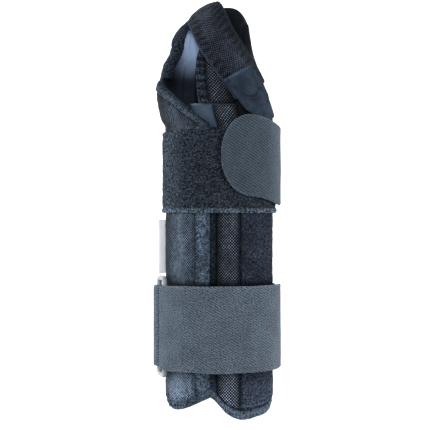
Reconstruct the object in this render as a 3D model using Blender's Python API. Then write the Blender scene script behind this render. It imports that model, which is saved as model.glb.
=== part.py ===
"""Wrist splint for a right hand: a tubular wrap brace lying on its palmar side.

X points to the ulnar side, Y to the fingers and Z up from the palmar to the dorsal side.
The origin is at the middle of the underside. Lengths are in millimetres until a mesh is made,
and MIDDLE is taken off each point then.
Angles round the sleeve are in degrees from the dorsal middle line: 90 is the ulnar side,
180 the palmar side and 270 (or -90) the radial side. An "off" is a height over the inner face.
"""
import math

import bmesh
import bpy
from mathutils import Vector

MM = 0.001

# Place along the arm that comes to the origin
MIDDLE = Vector((0.0, 1.74, 0.0))

# Sleeve: y, centre x, half width and half depth of the inner face at each station
STATIONS = [
    (-125.0, 1.23, 29.0, 19.5),
    (-96.0, 1.23, 28.2, 19.5),
    (49.0, 1.23, 28.2, 19.5),
    (55.0, -0.4, 29.7, 19.7),
    (66.0, -2.45, 29.65, 20.0),
    (80.0, -4.25, 26.35, 19.6),
    (88.0, -4.7, 24.1, 19.0),
    (95.0, -3.8, 21.1, 18.0),
    (110.0, -3.6, 19.0, 15.5),
    (127.0, -3.0, 17.0, 13.0),
]
FRONT_POWER = 2.15
BACK_POWER = 2.6
INNER_FLOOR = 5.0
SEAM = 0.45
HEM_GAP = 0.6

# Layers, as heights over the inner face
LINING = (0.0, 0.8)
SHELL = (1.15, 3.5)
HEM = (0.9, 4.0)
BAND = (4.4, 5.7)
HOOK = (6.05, 6.85)
TAIL = (7.2, 8.6)
LAP = 3.2
LAP_START = (-50.0, -31.0)
LAP_END = (-7.0, 18.0)

# Angles where the panels meet
RADIAL_SEAM = -90.0
ULNAR_SEAM = 90.0
ULNAR_EDGE = -30.0
RADIAL_HEM = -23.0
RADIAL_EDGE = -8.5
MESH_START = -2.4
MESH_END = 21.0
TONGUE_EDGE = -15.0
TONGUE_HEM = -4.5

# Hems and the tongue, along the arm
BOTTOM_HEM = 6.0
TOP_HEM = 7.5
RIM_HEM = 5.0
TONGUE_BOTTOM = 62.0

# Straps, along the arm
FOREARM_STRAP = (-93.0, -44.0)
WRIST_CUFF = (-1.5, 46.5)
STRAP_Y = sum(FOREARM_STRAP) / 2.0

# Plastic ring on the radial side of the forearm
RING_SECTION = 1.5
RING_LENGTH = 54.0
RING_OFF = 7.8
RING_LOW_ANGLE = -87.0
RING_HIGH_ANGLE = -62.0
RING_CORNER = 3.0
RING_CLEAR = 2.2
FOLD_GAP = 0.35
FOLD_THICK = 1.4
RING_TAB_END = (-99.0, -104.0)
FOREARM_TAIL_END = 86.0
HOOK_INSET = 3.0

# Wrist tail hinge, and the tail's rounded end
TAIL_ROOT = 82.0
TAIL_TIP = 1.0
TAIL_HALF = 23.2
TAIL_ROOT_Y = 26.4
TAIL_TIP_Y = 31.8
TAIL_BEND = (24.0, 84.0)
TAIL_ROUND = 29.0
TAIL_STEPS = (0.0, 1.0, 3.4, 6.8, 11.0, 16.2, 22.2, 28.5)
HOOK_TIP = 4.0

# Aluminium stay and its pocket
STAY_X = 1.23
STAY_HALF = 9.0
STAY_Y = (-104.0, 78.0)
STAY_Z = (8.3, 9.9)
POCKET_THICK = 0.8
POCKET_CLEAR = 1.2
POCKET_TOP_Y = 80.0

# Web strap, from the palm through the web of the thumb: centre, then half of its width
WEB_STATIONS = [
    ((-2.5, 100.0, 7.4), (7.0, 1.5, 0.0)),
    ((-4.5, 111.0, 10.0), (7.6, 2.6, 0.0)),
    ((-9.0, 119.0, 21.0), (7.8, 4.8, 0.6)),
    ((-7.2, 114.8, 35.0), (8.8, 6.4, 0.4)),
]
WEB_DORSAL = [
    ((-0.4, 99.6), (9.0, 6.6)),
    ((8.4, 86.4), (8.9, 6.5)),
    ((15.7, 75.9), (8.6, 6.2)),
    ((19.6, 69.4), (8.2, 6.0)),
]
WEB_THICK = 1.2
WEB_OFF = 5.3
TAB_STATIONS = [
    ((10.9, 79.4), (7.6, 4.6), 8.3),
    ((17.6, 70.6), (7.4, 5.2), 8.3),
    ((22.6, 63.6), (6.6, 5.4), 7.4),
    ((25.0, 60.6), (5.3, 4.7), 6.2),
]
TAB_ROOT_STATIONS = [
    ((25.8, 58.4), (5.4, 5.0), 5.6),
    ((28.6, 53.6), (4.6, 4.4), 5.1),
    ((29.8, 51.2), (3.8, 4.2), 5.1),
]
TAB_THICK = 1.1
PATCH_THICK = 0.6
PATCH_DROP = 1.25

COLOURS = {
    "mesh": (0.085, 0.110, 0.145, 0.92, 0.0),
    "dark_mesh": (0.040, 0.050, 0.068, 0.92, 0.0),
    "pile": (0.021, 0.028, 0.038, 1.0, 0.0),
    "hem": (0.050, 0.066, 0.088, 0.95, 0.0),
    "lining": (0.230, 0.310, 0.400, 0.9, 0.0),
    "dark": (0.010, 0.011, 0.014, 0.85, 0.0),
    "elastic": (0.095, 0.120, 0.155, 0.85, 0.0),
    "suede": (0.024, 0.031, 0.042, 1.0, 0.0),
    "hook": (0.030, 0.034, 0.040, 0.7, 0.0),
    "plastic": (0.440, 0.480, 0.510, 0.45, 0.0),
    "aluminium": (0.780, 0.790, 0.800, 0.35, 1.0),
    "label": (0.620, 0.660, 0.700, 0.8, 0.0),
}


def clear_scene():
    """Take every object out of the open scene."""
    for old in list(bpy.data.objects):
        bpy.data.objects.remove(old, do_unlink=True)


def material(name, kind):
    """A Principled material in one of the colours above."""
    red, green, blue, rough, metal = COLOURS[kind]
    made = bpy.data.materials.new(name + "_material")
    made.use_nodes = True
    shader = made.node_tree.nodes["Principled BSDF"]
    shader.inputs["Base Color"].default_value = (red, green, blue, 1.0)
    shader.inputs["Roughness"].default_value = rough
    shader.inputs["Metallic"].default_value = metal
    return made


def smoothstep(low, high, value):
    """0 below low, 1 above high, and a smooth rise between them."""
    part = min(1.0, max(0.0, (value - low) / (high - low)))
    return part * part * (3.0 - 2.0 * part)


def station(y):
    """Centre x, half width and half depth of the inner face at y, with no overshoot."""
    y = min(STATIONS[-1][0], max(STATIONS[0][0], y))
    index = max(i for i in range(len(STATIONS) - 1) if STATIONS[i][0] <= y)
    low, high = STATIONS[index], STATIONS[index + 1]
    span = high[0] - low[0]
    part = (y - low[0]) / span
    values = []
    for column in (1, 2, 3):
        slope_low = knot_slope(index, column) * span
        slope_high = knot_slope(index + 1, column) * span
        values.append(hermite(low[column], high[column], slope_low, slope_high, part))
    return values


def knot_slope(index, column):
    """Slope of a column at a station: none where it levels out or turns."""
    if index == 0 or index == len(STATIONS) - 1:
        return 0.0
    before, here, after = STATIONS[index - 1:index + 2]
    rise_in = (here[column] - before[column]) / (here[0] - before[0])
    rise_out = (after[column] - here[column]) / (after[0] - here[0])
    if rise_in * rise_out <= 0.0:
        return 0.0
    return 2.0 * rise_in * rise_out / (rise_in + rise_out)


def hermite(low, high, slope_low, slope_high, part):
    """Cubic from low to high with the given end slopes."""
    square, cube = part * part, part ** 3
    start = (2.0 * cube - 3.0 * square + 1.0) * low + (cube - 2.0 * square + part) * slope_low
    return start + (3.0 * square - 2.0 * cube) * high + (cube - square) * slope_high


def curve(values, part):
    """Smooth curve through evenly spaced values, read at part from 0 to 1."""
    place = min(len(values) - 1.000001, max(0.0, part * (len(values) - 1)))
    index = int(place)
    padded = [2 * values[0] - values[1]] + list(values) + [2 * values[-1] - values[-2]]
    before, low, high, after = padded[index:index + 4]
    return hermite(low, high, (high - before) / 2.0, (after - low) / 2.0, place - index)


def round_power(value, power):
    """Signed power, for a superellipse."""
    return math.copysign(abs(value) ** (2.0 / power), value)


def sleeve(angle, y, off):
    """Point on the sleeve at an angle, a place along the arm and a height over the inner face."""
    centre, half_width, half_depth = station(y)
    sine, cosine = math.sin(math.radians(angle)), math.cos(math.radians(angle))
    power = FRONT_POWER if cosine > 0.0 else BACK_POWER
    x = centre + (half_width + off) * round_power(sine, power)
    z = INNER_FLOOR + half_depth + (half_depth + off) * round_power(cosine, power)
    return Vector((x, y, z))


def dorsal_point(x, y, off):
    """Point of the dorsal half over a given x and y."""
    centre, half_width, half_depth = station(y)
    share = min(0.985, abs(x - centre) / (half_width + off))
    rise = (1.0 - share ** FRONT_POWER) ** (1.0 / FRONT_POWER)
    return Vector((x, y, INNER_FLOOR + half_depth + (half_depth + off) * rise))


def lap(angle):
    """How far the radial flap and the straps stand up where the flap laps over the ulnar one."""
    return LAP * smoothstep(*LAP_START, angle) * (1.0 - smoothstep(*LAP_END, angle))


def flap_lap(angle):
    """The same for the flap itself, which stays up as far as its own edge."""
    return LAP * smoothstep(*LAP_START, angle)


def solid(name, kind, inner, outer, origin=None):
    """Closed body between two grids of points, from the inner grid to the outer one."""
    mesh = bmesh.new()
    rows, columns = len(inner), len(inner[0])
    start = Vector(origin) if origin else MIDDLE
    layers = []
    for grid in (inner, outer):
        layers.append([[mesh.verts.new((point - start) * MM) for point in row] for row in grid])
    for layer in layers:
        for i in range(rows - 1):
            for j in range(columns - 1):
                corners = (layer[i][j], layer[i + 1][j], layer[i + 1][j + 1], layer[i][j + 1])
                mesh.faces.new(corners)
    rim = [(i, 0) for i in range(rows)] + [(rows - 1, j) for j in range(1, columns)]
    rim += [(i, columns - 1) for i in range(rows - 2, -1, -1)]
    rim += [(0, j) for j in range(columns - 2, 0, -1)]
    for (i, j), (k, m) in zip(rim, rim[1:] + rim[:1]):
        mesh.faces.new((layers[0][i][j], layers[0][k][m], layers[1][k][m], layers[1][i][j]))
    return finish(name, kind, mesh, start)


def finish(name, kind, mesh, start):
    """Turn a bmesh into a named object with its own material, placed at its origin."""
    bmesh.ops.triangulate(mesh, faces=mesh.faces[:])
    bmesh.ops.recalc_face_normals(mesh, faces=mesh.faces[:])
    data = bpy.data.meshes.new(name)
    mesh.to_mesh(data)
    mesh.free()
    made = bpy.data.objects.new(name, data)
    made.location = (start - MIDDLE) * MM
    bpy.context.scene.collection.objects.link(made)
    data.materials.append(material(name, kind))
    return made


def edge_line(values, start, end, shift=0.0):
    """An edge of a panel: y at an angle, on a smooth curve that runs from start to end."""
    return lambda angle: curve(values, (angle - start) / (end - start)) + shift


def panel_grid(span, bottom, top, off, columns, rows, rise):
    """Points of a panel between two angles, whose bottom and top edges follow the angle."""
    grid = []
    for angle in even(span[0], span[1], columns):
        low, high = bottom(angle), top(angle)
        row = [sleeve(angle, y, off + rise(angle)) for y in even(low, high, rows)]
        grid.append(row)
    return grid


def panel(name, kind, layer, span, bottom, top, counts, rise=lambda angle: 0.0):
    """A sewn panel of the sleeve, as thick as its layer."""
    inner = panel_grid(span, bottom, top, layer[0], *counts, rise)
    outer = panel_grid(span, bottom, top, layer[1], *counts, rise)
    return solid(name, kind, inner, outer)


def even(start, end, count):
    """Evenly spaced values from start to end."""
    return [start + (end - start) * i / count for i in range(count + 1)]


# Edges of the sewn parts, as places in y at evenly spaced angles
RADIAL_BOTTOM = [-108.0, -116.3, -114.9, -108.0]
RADIAL_TOP = [79.0, 73.5, 65.3, 50.0]
ULNAR_BOTTOM = [-106.5, -112.5, -120.9, -120.2, -117.4, -104.5]
HAND_LINING_TOP = [93.0, 92.0, 87.5, 90.0, 101.0]
SIDE_TOP = [92.0, 89.0, 92.0, 103.0]
TONGUE_TOP = [95.0, 94.0, 91.0]
PALM_TOP = [109.5, 118.5, 121.0, 116.5, 103.0]
PALM_BOTTOM = [-104.0, -107.0, -108.0, -108.0, -106.0]


def make_palm():
    """Palmar shell with its lining, its hem at the forearm and its binding at the fingers."""
    span = (ULNAR_SEAM + SEAM, 360.0 + RADIAL_SEAM - SEAM)

    def bottom(shift):
        return edge_line(PALM_BOTTOM, *span, shift)

    def top(shift):
        return edge_line(PALM_TOP, *span, shift)
    for name, kind, layer in (("palmar_shell", "mesh", SHELL), ("palmar_lining", "lining", LINING)):
        panel(name, kind, layer, span, bottom(BOTTOM_HEM), top(-RIM_HEM), (24, 24))
    low_hem = bottom(BOTTOM_HEM - HEM_GAP)
    panel("palmar_bottom_hem", "hem", HEM, span, bottom(0.0), low_hem, (24, 1))
    panel("palm_rim_binding", "pile", HEM, span, top(HEM_GAP - RIM_HEM), top(0.0), (24, 1))


def make_radial_flap():
    """Radial flap, which laps over the ulnar one, with its lining, hems and thumb binding."""
    seam = RADIAL_SEAM + SEAM

    def bottom(shift):
        return edge_line(RADIAL_BOTTOM, RADIAL_SEAM, RADIAL_EDGE, shift)

    def top(shift):
        return edge_line(RADIAL_TOP, RADIAL_SEAM, RADIAL_EDGE, shift)
    body = (bottom(BOTTOM_HEM), top(-TOP_HEM))
    mesh_span, hem_span = (seam, RADIAL_HEM - SEAM), (RADIAL_HEM, RADIAL_EDGE)
    panel("radial_flap", "mesh", SHELL, mesh_span, *body, (10, 20), flap_lap)
    panel("radial_lining", "lining", LINING, (seam, LAP_START[0] - 1.0), *body, (6, 20))
    panel("radial_front_hem", "hem", SHELL, hem_span, *body, (3, 20), flap_lap)
    whole = (seam, RADIAL_EDGE)
    low_hem = (bottom(0.0), bottom(BOTTOM_HEM - HEM_GAP))
    panel("radial_bottom_hem", "hem", SHELL, whole, *low_hem, (12, 1), flap_lap)
    high_hem = (top(HEM_GAP - TOP_HEM), top(0.0))
    panel("thumb_hole_binding", "pile", SHELL, whole, *high_hem, (12, 1), flap_lap)


def make_ulnar_flap():
    """Ulnar flap: front hem, ventilated mesh strip, loop-pile panel, bottom hem and lining."""
    seam = ULNAR_SEAM - SEAM

    def bottom(shift):
        return edge_line(ULNAR_BOTTOM, ULNAR_EDGE, ULNAR_SEAM, shift)
    spans = [
        ("ulnar_front_hem", "hem", ULNAR_EDGE, MESH_START - SEAM, 5, 43.0),
        ("ulnar_mesh_panel", "dark_mesh", MESH_START, MESH_END - SEAM, 4, TONGUE_BOTTOM - 1.0),
        ("ulnar_pile_panel", "pile", MESH_END, seam, 10, 50.0),
    ]
    for name, kind, low, high, columns, top in spans:
        panel(name, kind, SHELL, (low, high), bottom(BOTTOM_HEM), fixed(top), (columns, 20))
    whole = (ULNAR_EDGE, seam)
    low_hem = (bottom(0.0), bottom(BOTTOM_HEM - HEM_GAP))
    panel("ulnar_bottom_hem", "hem", SHELL, whole, *low_hem, (16, 1))
    top = fixed(TONGUE_BOTTOM - 1.0)
    panel("dorsal_lining", "lining", LINING, whole, bottom(BOTTOM_HEM), top, (16, 20))


def make_hand_panels():
    """Dorsal tongue with its puckered hem, and the dark side panel beside it."""
    top = edge_line(TONGUE_TOP, TONGUE_EDGE, MESH_END)
    low = fixed(TONGUE_BOTTOM)
    mesh_span = (TONGUE_HEM + SEAM, MESH_END - SEAM)
    panel("dorsal_tongue", "dark_mesh", SHELL, mesh_span, low, top, (4, 6))
    panel("tongue_hem", "hem", HEM, (TONGUE_EDGE, TONGUE_HEM), low, top, (3, 6))
    side_span = (MESH_END, ULNAR_SEAM - SEAM)
    side_top = edge_line(SIDE_TOP, *side_span)
    panel("ulnar_side_panel", "dark", SHELL, side_span, fixed(50.4), side_top, (10, 8))
    lining_span = (TONGUE_EDGE, ULNAR_SEAM - SEAM)
    lining_top = edge_line(HAND_LINING_TOP, *lining_span)
    panel("hand_lining", "lining", LINING, lining_span, low, lining_top, (14, 6))


def band_grid(angles, y_low, y_high, off, floor=None):
    """Points of a strap round the sleeve: off and the y limits are functions of the angle."""
    grid = []
    for angle in angles:
        low, high = y_low(angle), y_high(angle)
        row = []
        for y in (low, high):
            point = sleeve(angle, STRAP_Y, off(angle))
            point.y = y
            if floor is not None:
                point.z = max(floor, point.z)
            row.append(point)
        grid.append(row)
    return grid


def steps(start, end, largest=7.5):
    """Evenly spaced angles from start to end, no further apart than largest."""
    count = max(1, math.ceil(abs(end - start) / largest))
    return [start + (end - start) * i / count for i in range(count + 1)]


def fixed(value):
    """A function that always gives the same value."""
    return lambda angle: value


def band(name, kind, layer, span, limits, lift=lap, origin=None):
    """A strap of constant width round the sleeve between two angles."""
    angles = steps(*span)
    low, high = fixed(limits[0]), fixed(limits[1])
    inner = band_grid(angles, low, high, lambda angle: layer[0] + lift(angle))
    outer = band_grid(angles, low, high, lambda angle: layer[1] + lift(angle), 0.0)
    return solid(name, kind, inner, outer, origin)


def ring_bar(angle):
    """Middle of one of the ring's long bars, at the middle of the forearm strap."""
    return sleeve(angle, STRAP_Y, RING_OFF)


def ribbon(name, kind, path, thick, limits, origin=None):
    """A flat strip: a path in x and z with a thickness, as wide as its limits in y."""
    inner, outer = [], []
    for index, point in enumerate(path):
        before, after = path[max(0, index - 1)], path[min(len(path) - 1, index + 1)]
        run = (after - before).normalized()
        side = Vector((-run.z, 0.0, run.x)) * (thick / 2.0)
        for grid, place in ((inner, point - side), (outer, point + side)):
            grid.append([Vector((place.x, y, place.z)) for y in limits])
    return solid(name, kind, inner, outer, origin)


def outward(angle):
    """Unit normal of the sleeve in x and z at an angle."""
    run = sleeve(angle + 1.0, STRAP_Y, RING_OFF) - sleeve(angle - 1.0, STRAP_Y, RING_OFF)
    run.normalize()
    return Vector((-run.z, 0.0, run.x))


def fold(centre, start, turn, count=10):
    """Arc of a strap's middle line round a bar, from a start direction through a turn."""
    radius = RING_SECTION + FOLD_GAP + FOLD_THICK / 2.0
    first = math.atan2(start.z, start.x)
    points = []
    for i in range(count + 1):
        angle = first + math.radians(turn) * i / count
        points.append(centre + Vector((math.cos(angle), 0.0, math.sin(angle))) * radius)
    return points


def make_forearm_strap():
    """Elastic forearm strap: band, ring, ring tab, and the tail folded back over the band."""
    band("forearm_strap_base", "elastic", BAND, (-51.0, 260.0), FOREARM_STRAP)
    low, high = ring_bar(RING_LOW_ANGLE), ring_bar(RING_HIGH_ANGLE)
    tab_fold = fold(low, -outward(RING_LOW_ANGLE), 180.0)
    tab_start = sleeve(RING_TAB_END[0], STRAP_Y, sum(BAND) / 2.0)
    tab_end = sleeve(RING_TAB_END[1], STRAP_Y, RING_OFF)
    path = [tab_start] + tab_fold + [tab_end]
    ribbon("forearm_ring_tab", "elastic", path, FOLD_THICK, FOREARM_STRAP)
    make_ring(low, high)
    tail_fold = fold(high, -outward(RING_HIGH_ANGLE), -170.0)
    middle = sum(TAIL) / 2.0
    over = [sleeve(a, STRAP_Y, middle + lap(a) + ring_rise(a)) for a in steps(-50.0, FOREARM_TAIL_END)]
    origin = Vector((high.x, STRAP_Y, high.z))
    ribbon("forearm_strap_tail", "elastic", tail_fold + over, FOLD_THICK, FOREARM_STRAP, origin)
    hook_limits = (FOREARM_STRAP[0] + HOOK_INSET, FOREARM_STRAP[1] - HOOK_INSET)
    band("forearm_hook_tab", "hook", HOOK, (56.0, 84.0), hook_limits, lap, origin)


def ring_rise(angle):
    """Extra height of the tail where it comes off the ring."""
    return RING_CLEAR * (1.0 - smoothstep(-50.0, -34.0, angle))


def make_ring(low, high):
    """Rectangular plastic ring, round in section, through both folds."""
    along = Vector((0.0, 1.0, 0.0))
    across = (high - low).normalized()
    half_width = (high - low).length / 2.0
    centre = (high + low) / 2.0
    half_length = RING_LENGTH / 2.0 + RING_SECTION
    path = []
    for turn in range(4):
        sign_across = (1.0, -1.0, -1.0, 1.0)[turn]
        sign_along = (1.0, 1.0, -1.0, -1.0)[turn]
        for i in range(4):
            angle = math.radians(90.0 * turn + 30.0 * i)
            cosine, sine = RING_CORNER * math.cos(angle), RING_CORNER * math.sin(angle)
            shift = across * (sign_across * (half_width - RING_CORNER) + cosine)
            shift += along * (sign_along * (half_length - RING_CORNER) + sine)
            path.append(centre + shift)
    normal = along.cross(across)
    mesh = bmesh.new()
    sides = 8
    rings = []
    for index, point in enumerate(path):
        run = (path[(index + 1) % len(path)] - path[index - 1]).normalized()
        side = run.cross(normal)
        ring = []
        for k in range(sides):
            angle = 2.0 * math.pi * (k + 0.5) / sides
            shift = side * math.cos(angle) + normal * math.sin(angle)
            ring.append(mesh.verts.new((point + shift * RING_SECTION - low) * MM))
        rings.append(ring)
    for index, ring in enumerate(rings):
        after = rings[(index + 1) % len(rings)]
        for k in range(sides):
            mesh.faces.new((ring[k], ring[(k + 1) % sides], after[(k + 1) % sides], after[k]))
    finish("forearm_ring", "plastic", mesh, low)


def tail_middle(angle):
    """Middle of the wrist tail in y: it runs a little towards the fingers at its tip."""
    return TAIL_TIP_Y + (TAIL_ROOT_Y - TAIL_TIP_Y) * smoothstep(*TAIL_BEND, angle)


def tail_half(angle, tip, half):
    """Half width of a strap that ends in an elliptic curve at an angle."""
    part = min(1.0, max(0.0, (angle - tip) / TAIL_ROUND))
    return half * math.sqrt(max(0.0, 1.0 - (1.0 - part) ** 2.4)) ** 0.94 + 0.4


def band_rise(angle):
    """Lift that brings the wrist band out to the tail's layer at its hinge."""
    return (TAIL[0] - BAND[0]) * (1.0 - smoothstep(90.0, 112.0, angle))


def make_wrist_strap():
    """Wrist strap: loop-pile cuff on the dorsal side, elastic band behind, and its tail."""
    band("wrist_cuff", "pile", BAND, (-92.0, 83.0), WRIST_CUFF)
    band("wrist_band", "elastic", BAND, (84.8, 267.0), (3.8, 46.5), band_rise)
    hinge = sleeve(TAIL_ROOT, STRAP_Y, sum(TAIL) / 2.0)
    origin = Vector((hinge.x, TAIL_ROOT_Y, hinge.z))
    angles = [TAIL_TIP + step for step in TAIL_STEPS]
    angles += steps(TAIL_TIP + 40.0, TAIL_ROOT)
    round_end("wrist_strap_tail", "elastic", TAIL, angles, TAIL_TIP, TAIL_HALF, origin)
    tip = TAIL_TIP + HOOK_TIP
    hook_angles = [tip + step for step in TAIL_STEPS]
    round_end("wrist_hook_tab", "hook", HOOK, hook_angles, tip, TAIL_HALF - HOOK_INSET, origin)


def round_end(name, kind, layer, angles, tip, half, origin):
    """A strap with a rounded end, on the wrist tail's run."""
    def low(angle):
        return tail_middle(angle) - tail_half(angle, tip, half)

    def high(angle):
        return tail_middle(angle) + tail_half(angle, tip, half)
    inner = band_grid(angles, low, high, lambda angle: layer[0] + lap(angle))
    outer = band_grid(angles, low, high, lambda angle: layer[1] + lap(angle))
    solid(name, kind, inner, outer, origin)


def strip_grids(rows, thick, columns=4):
    """Two grids half a thickness to each side of a strip given by its left and right edges."""
    middle = []
    for left, right, centre in rows:
        row = []
        for j in range(columns + 1):
            part = 2.0 * j / columns - 1.0
            straight = left + (right - left) * (part + 1.0) / 2.0
            row.append(straight + (centre - (left + right) / 2.0) * (1.0 - part * part))
        middle.append(row)
    grids = ([], [])
    for i, row in enumerate(middle):
        before, after = middle[max(0, i - 1)], middle[min(len(middle) - 1, i + 1)]
        for grid, sign in zip(grids, (-0.5, 0.5)):
            line = []
            for j, point in enumerate(row):
                run = after[j] - before[j]
                across = row[min(columns, j + 1)] - row[max(0, j - 1)]
                line.append(point + across.cross(run).normalized() * thick * sign)
            grid.append(line)
    return grids


def dense(rows, extra=2):
    """Rows of points with extra rows on a smooth curve between them."""
    count = (len(rows) - 1) * (extra + 1)
    result = []
    for i in range(count + 1):
        part = i / count
        result.append(tuple(curve([row[k] for row in rows], part) for k in range(len(rows[0]))))
    return result


def dorsal_row(centre, half, off):
    """Left edge, right edge and middle of a strip that lies on the dorsal side."""
    left = dorsal_point(centre[0] - half[0], centre[1] - half[1], off)
    right = dorsal_point(centre[0] + half[0], centre[1] + half[1], off)
    return (left, right, dorsal_point(centre[0], centre[1], off))


def tab_hinge():
    """The two ends of the web tab's hinge line, at its last row."""
    centre, half, off = TAB_STATIONS[-1]
    return dorsal_row(centre, half, off)[:2]


def make_web_strap():
    """Web strap from the palm to the back of the hand, and the tab that holds it down."""
    rows = []
    for centre, half in WEB_STATIONS:
        middle, reach = Vector(centre), Vector(half)
        rows.append((middle - reach, middle + reach, middle))
    for centre, half in WEB_DORSAL:
        rows.append(dorsal_row(centre, half, WEB_OFF))
    inner, outer = strip_grids(dense(rows), WEB_THICK)
    solid("web_strap", "dark_mesh", inner, outer)
    left, right = tab_hinge()
    origin = (left + right) / 2.0
    tab_rows = [dorsal_row(*row) for row in TAB_STATIONS]
    inner, outer = strip_grids(dense(tab_rows), TAB_THICK)
    solid("web_strap_tab", "suede", inner, outer, origin)
    hook_rows = []
    for centre, half, off in TAB_STATIONS[:2]:
        narrow = (half[0] - 1.5, half[1] - 1.0)
        hook_rows.append(dorsal_row(centre, narrow, off - PATCH_DROP))
    inner, outer = strip_grids(dense(hook_rows), PATCH_THICK)
    solid("web_hook_patch", "hook", inner, outer, origin)
    root_rows = [dorsal_row(*row) for row in TAB_ROOT_STATIONS]
    inner, outer = strip_grids(dense(root_rows), TAB_THICK)
    solid("web_tab_root", "suede", inner, outer)


def make_stay():
    """Aluminium stay with rounded ends, in a pocket sewn inside the palmar side."""
    low_z, high_z = STAY_Z
    wall = STAY_HALF + POCKET_CLEAR + POCKET_THICK / 2.0
    roof = high_z + 0.5 + POCKET_THICK / 2.0
    foot = low_z - 0.2
    path = [Vector((STAY_X - wall, 0.0, foot)), Vector((STAY_X - wall, 0.0, roof - 1.0))]
    path += [Vector((STAY_X - wall + 1.0, 0.0, roof)), Vector((STAY_X + wall - 1.0, 0.0, roof))]
    path += [Vector((STAY_X + wall, 0.0, roof - 1.0)), Vector((STAY_X + wall, 0.0, foot))]
    limits = (STAY_Y[0] - 2.0, POCKET_TOP_Y)
    ribbon("stay_pocket", "lining", path, POCKET_THICK, limits)
    mesh = bmesh.new()
    outline = []
    for end, sign in ((STAY_Y[1], 1.0), (STAY_Y[0], -1.0)):
        for i in range(9):
            angle = math.radians(22.5 * i)
            x = STAY_X + sign * STAY_HALF * math.cos(angle)
            y = end - sign * STAY_HALF * (1.0 - math.sin(angle))
            outline.append(mesh.verts.new((Vector((x, y, low_z)) - MIDDLE) * MM))
    face = mesh.faces.new(outline)
    extruded = bmesh.ops.extrude_face_region(mesh, geom=[face])
    moved = [item for item in extruded["geom"] if isinstance(item, bmesh.types.BMVert)]
    bmesh.ops.translate(mesh, verts=moved, vec=Vector((0.0, 0.0, high_z - low_z)) * MM)
    finish("palmar_stay", "aluminium", mesh, MIDDLE)


def make_label():
    """Blank care label, folded into the radial seam."""
    start = sleeve(RADIAL_SEAM, STRAP_Y, 3.9)
    path = [start, start + Vector((-2.4, 0.0, 0.5)), start + Vector((-4.4, 0.0, 0.2))]
    ribbon("care_label", "label", path, 0.5, (-37.5, -5.5))


def main():
    """Build every piece of the splint."""
    clear_scene()
    make_palm()
    make_radial_flap()
    make_ulnar_flap()
    make_hand_panels()
    make_forearm_strap()
    make_wrist_strap()
    make_web_strap()
    make_stay()
    make_label()


main()
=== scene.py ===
"""Looks of the wrist splint: every fabric piece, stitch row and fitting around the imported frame.

Lengths are in millimetres until a mesh is made. Angles round the sleeve are in degrees from the
dorsal middle line: 90 is the ulnar side, 180 the palmar side and 270 (or -90) the radial side.
"""
import math

import bpy
import numpy as np
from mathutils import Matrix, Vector


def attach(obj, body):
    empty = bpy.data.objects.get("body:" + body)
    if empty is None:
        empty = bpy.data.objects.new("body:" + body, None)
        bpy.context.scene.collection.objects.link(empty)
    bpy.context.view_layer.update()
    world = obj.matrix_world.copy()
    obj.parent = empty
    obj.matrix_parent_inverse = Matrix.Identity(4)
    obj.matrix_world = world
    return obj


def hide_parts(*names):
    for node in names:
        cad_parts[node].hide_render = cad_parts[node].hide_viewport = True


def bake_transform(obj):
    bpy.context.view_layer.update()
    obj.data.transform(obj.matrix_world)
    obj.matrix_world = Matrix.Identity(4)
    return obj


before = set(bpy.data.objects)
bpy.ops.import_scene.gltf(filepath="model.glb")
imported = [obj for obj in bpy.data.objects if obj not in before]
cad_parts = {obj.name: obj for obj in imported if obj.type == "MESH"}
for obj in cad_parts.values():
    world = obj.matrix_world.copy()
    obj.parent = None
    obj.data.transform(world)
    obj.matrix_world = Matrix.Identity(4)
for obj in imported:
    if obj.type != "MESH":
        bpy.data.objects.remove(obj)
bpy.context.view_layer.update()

MM = 0.001
MIDDLE = np.array([0.0, 1.74, 0.0])

# Sleeve: y, centre x, half width and half depth of the inner face, as in the frame
STATIONS = np.array([
    (-125.0, 1.23, 29.0, 19.5),
    (-96.0, 1.23, 28.2, 19.5),
    (49.0, 1.23, 28.2, 19.5),
    (55.0, -0.4, 29.7, 19.7),
    (66.0, -2.45, 29.65, 20.0),
    (80.0, -4.25, 26.35, 19.6),
    (88.0, -4.7, 24.1, 19.0),
    (95.0, -3.8, 21.1, 18.0),
    (110.0, -3.6, 19.0, 15.5),
    (127.0, -3.0, 17.0, 13.0),
])
FRONT_POWER = 2.15
BACK_POWER = 2.6
INNER_FLOOR = 5.0

# Layers over the inner face
LINING = (0.0, 0.8)
SHELL = (1.0, 3.7)
BAND = (4.4, 5.7)
HOOK = (6.0, 6.9)
TAIL = (7.2, 8.6)
EDGING = (0.9, 4.0)
BAND_MIDDLE, HOOK_MIDDLE, TAIL_MIDDLE = (sum(layer) / 2.0 for layer in (BAND, HOOK, TAIL))
HOOK_THICK = 0.8
FLOOR_CLEAR = 0.75
THIN_EDGES = (0.4,) * 4
LAP = 3.2
LAP_START = (-50.0, -31.0)
LAP_END = (-7.0, 18.0)

# Angles where the panels meet, and places along the arm
RADIAL_SEAM, ULNAR_SEAM = -90.0, 90.0
ULNAR_EDGE, RADIAL_HEM, RADIAL_EDGE = -30.0, -23.0, -8.5
MESH_START, MESH_END = -2.4, 21.0
TONGUE_EDGE, TONGUE_HEM = -15.0, -4.5
BOTTOM_HEM, TOP_HEM, RIM_HEM = 6.0, 7.5, 5.0
HEM_INNER = BOTTOM_HEM - 1.2
SEAM = 0.45
PALM_SPAN = (ULNAR_SEAM + SEAM, 270.0 - SEAM)
RADIAL_SPAN = (RADIAL_SEAM, RADIAL_EDGE)
SIDE_SPAN = (MESH_END, ULNAR_SEAM - SEAM)
TONGUE_BOTTOM = 62.0
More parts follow.
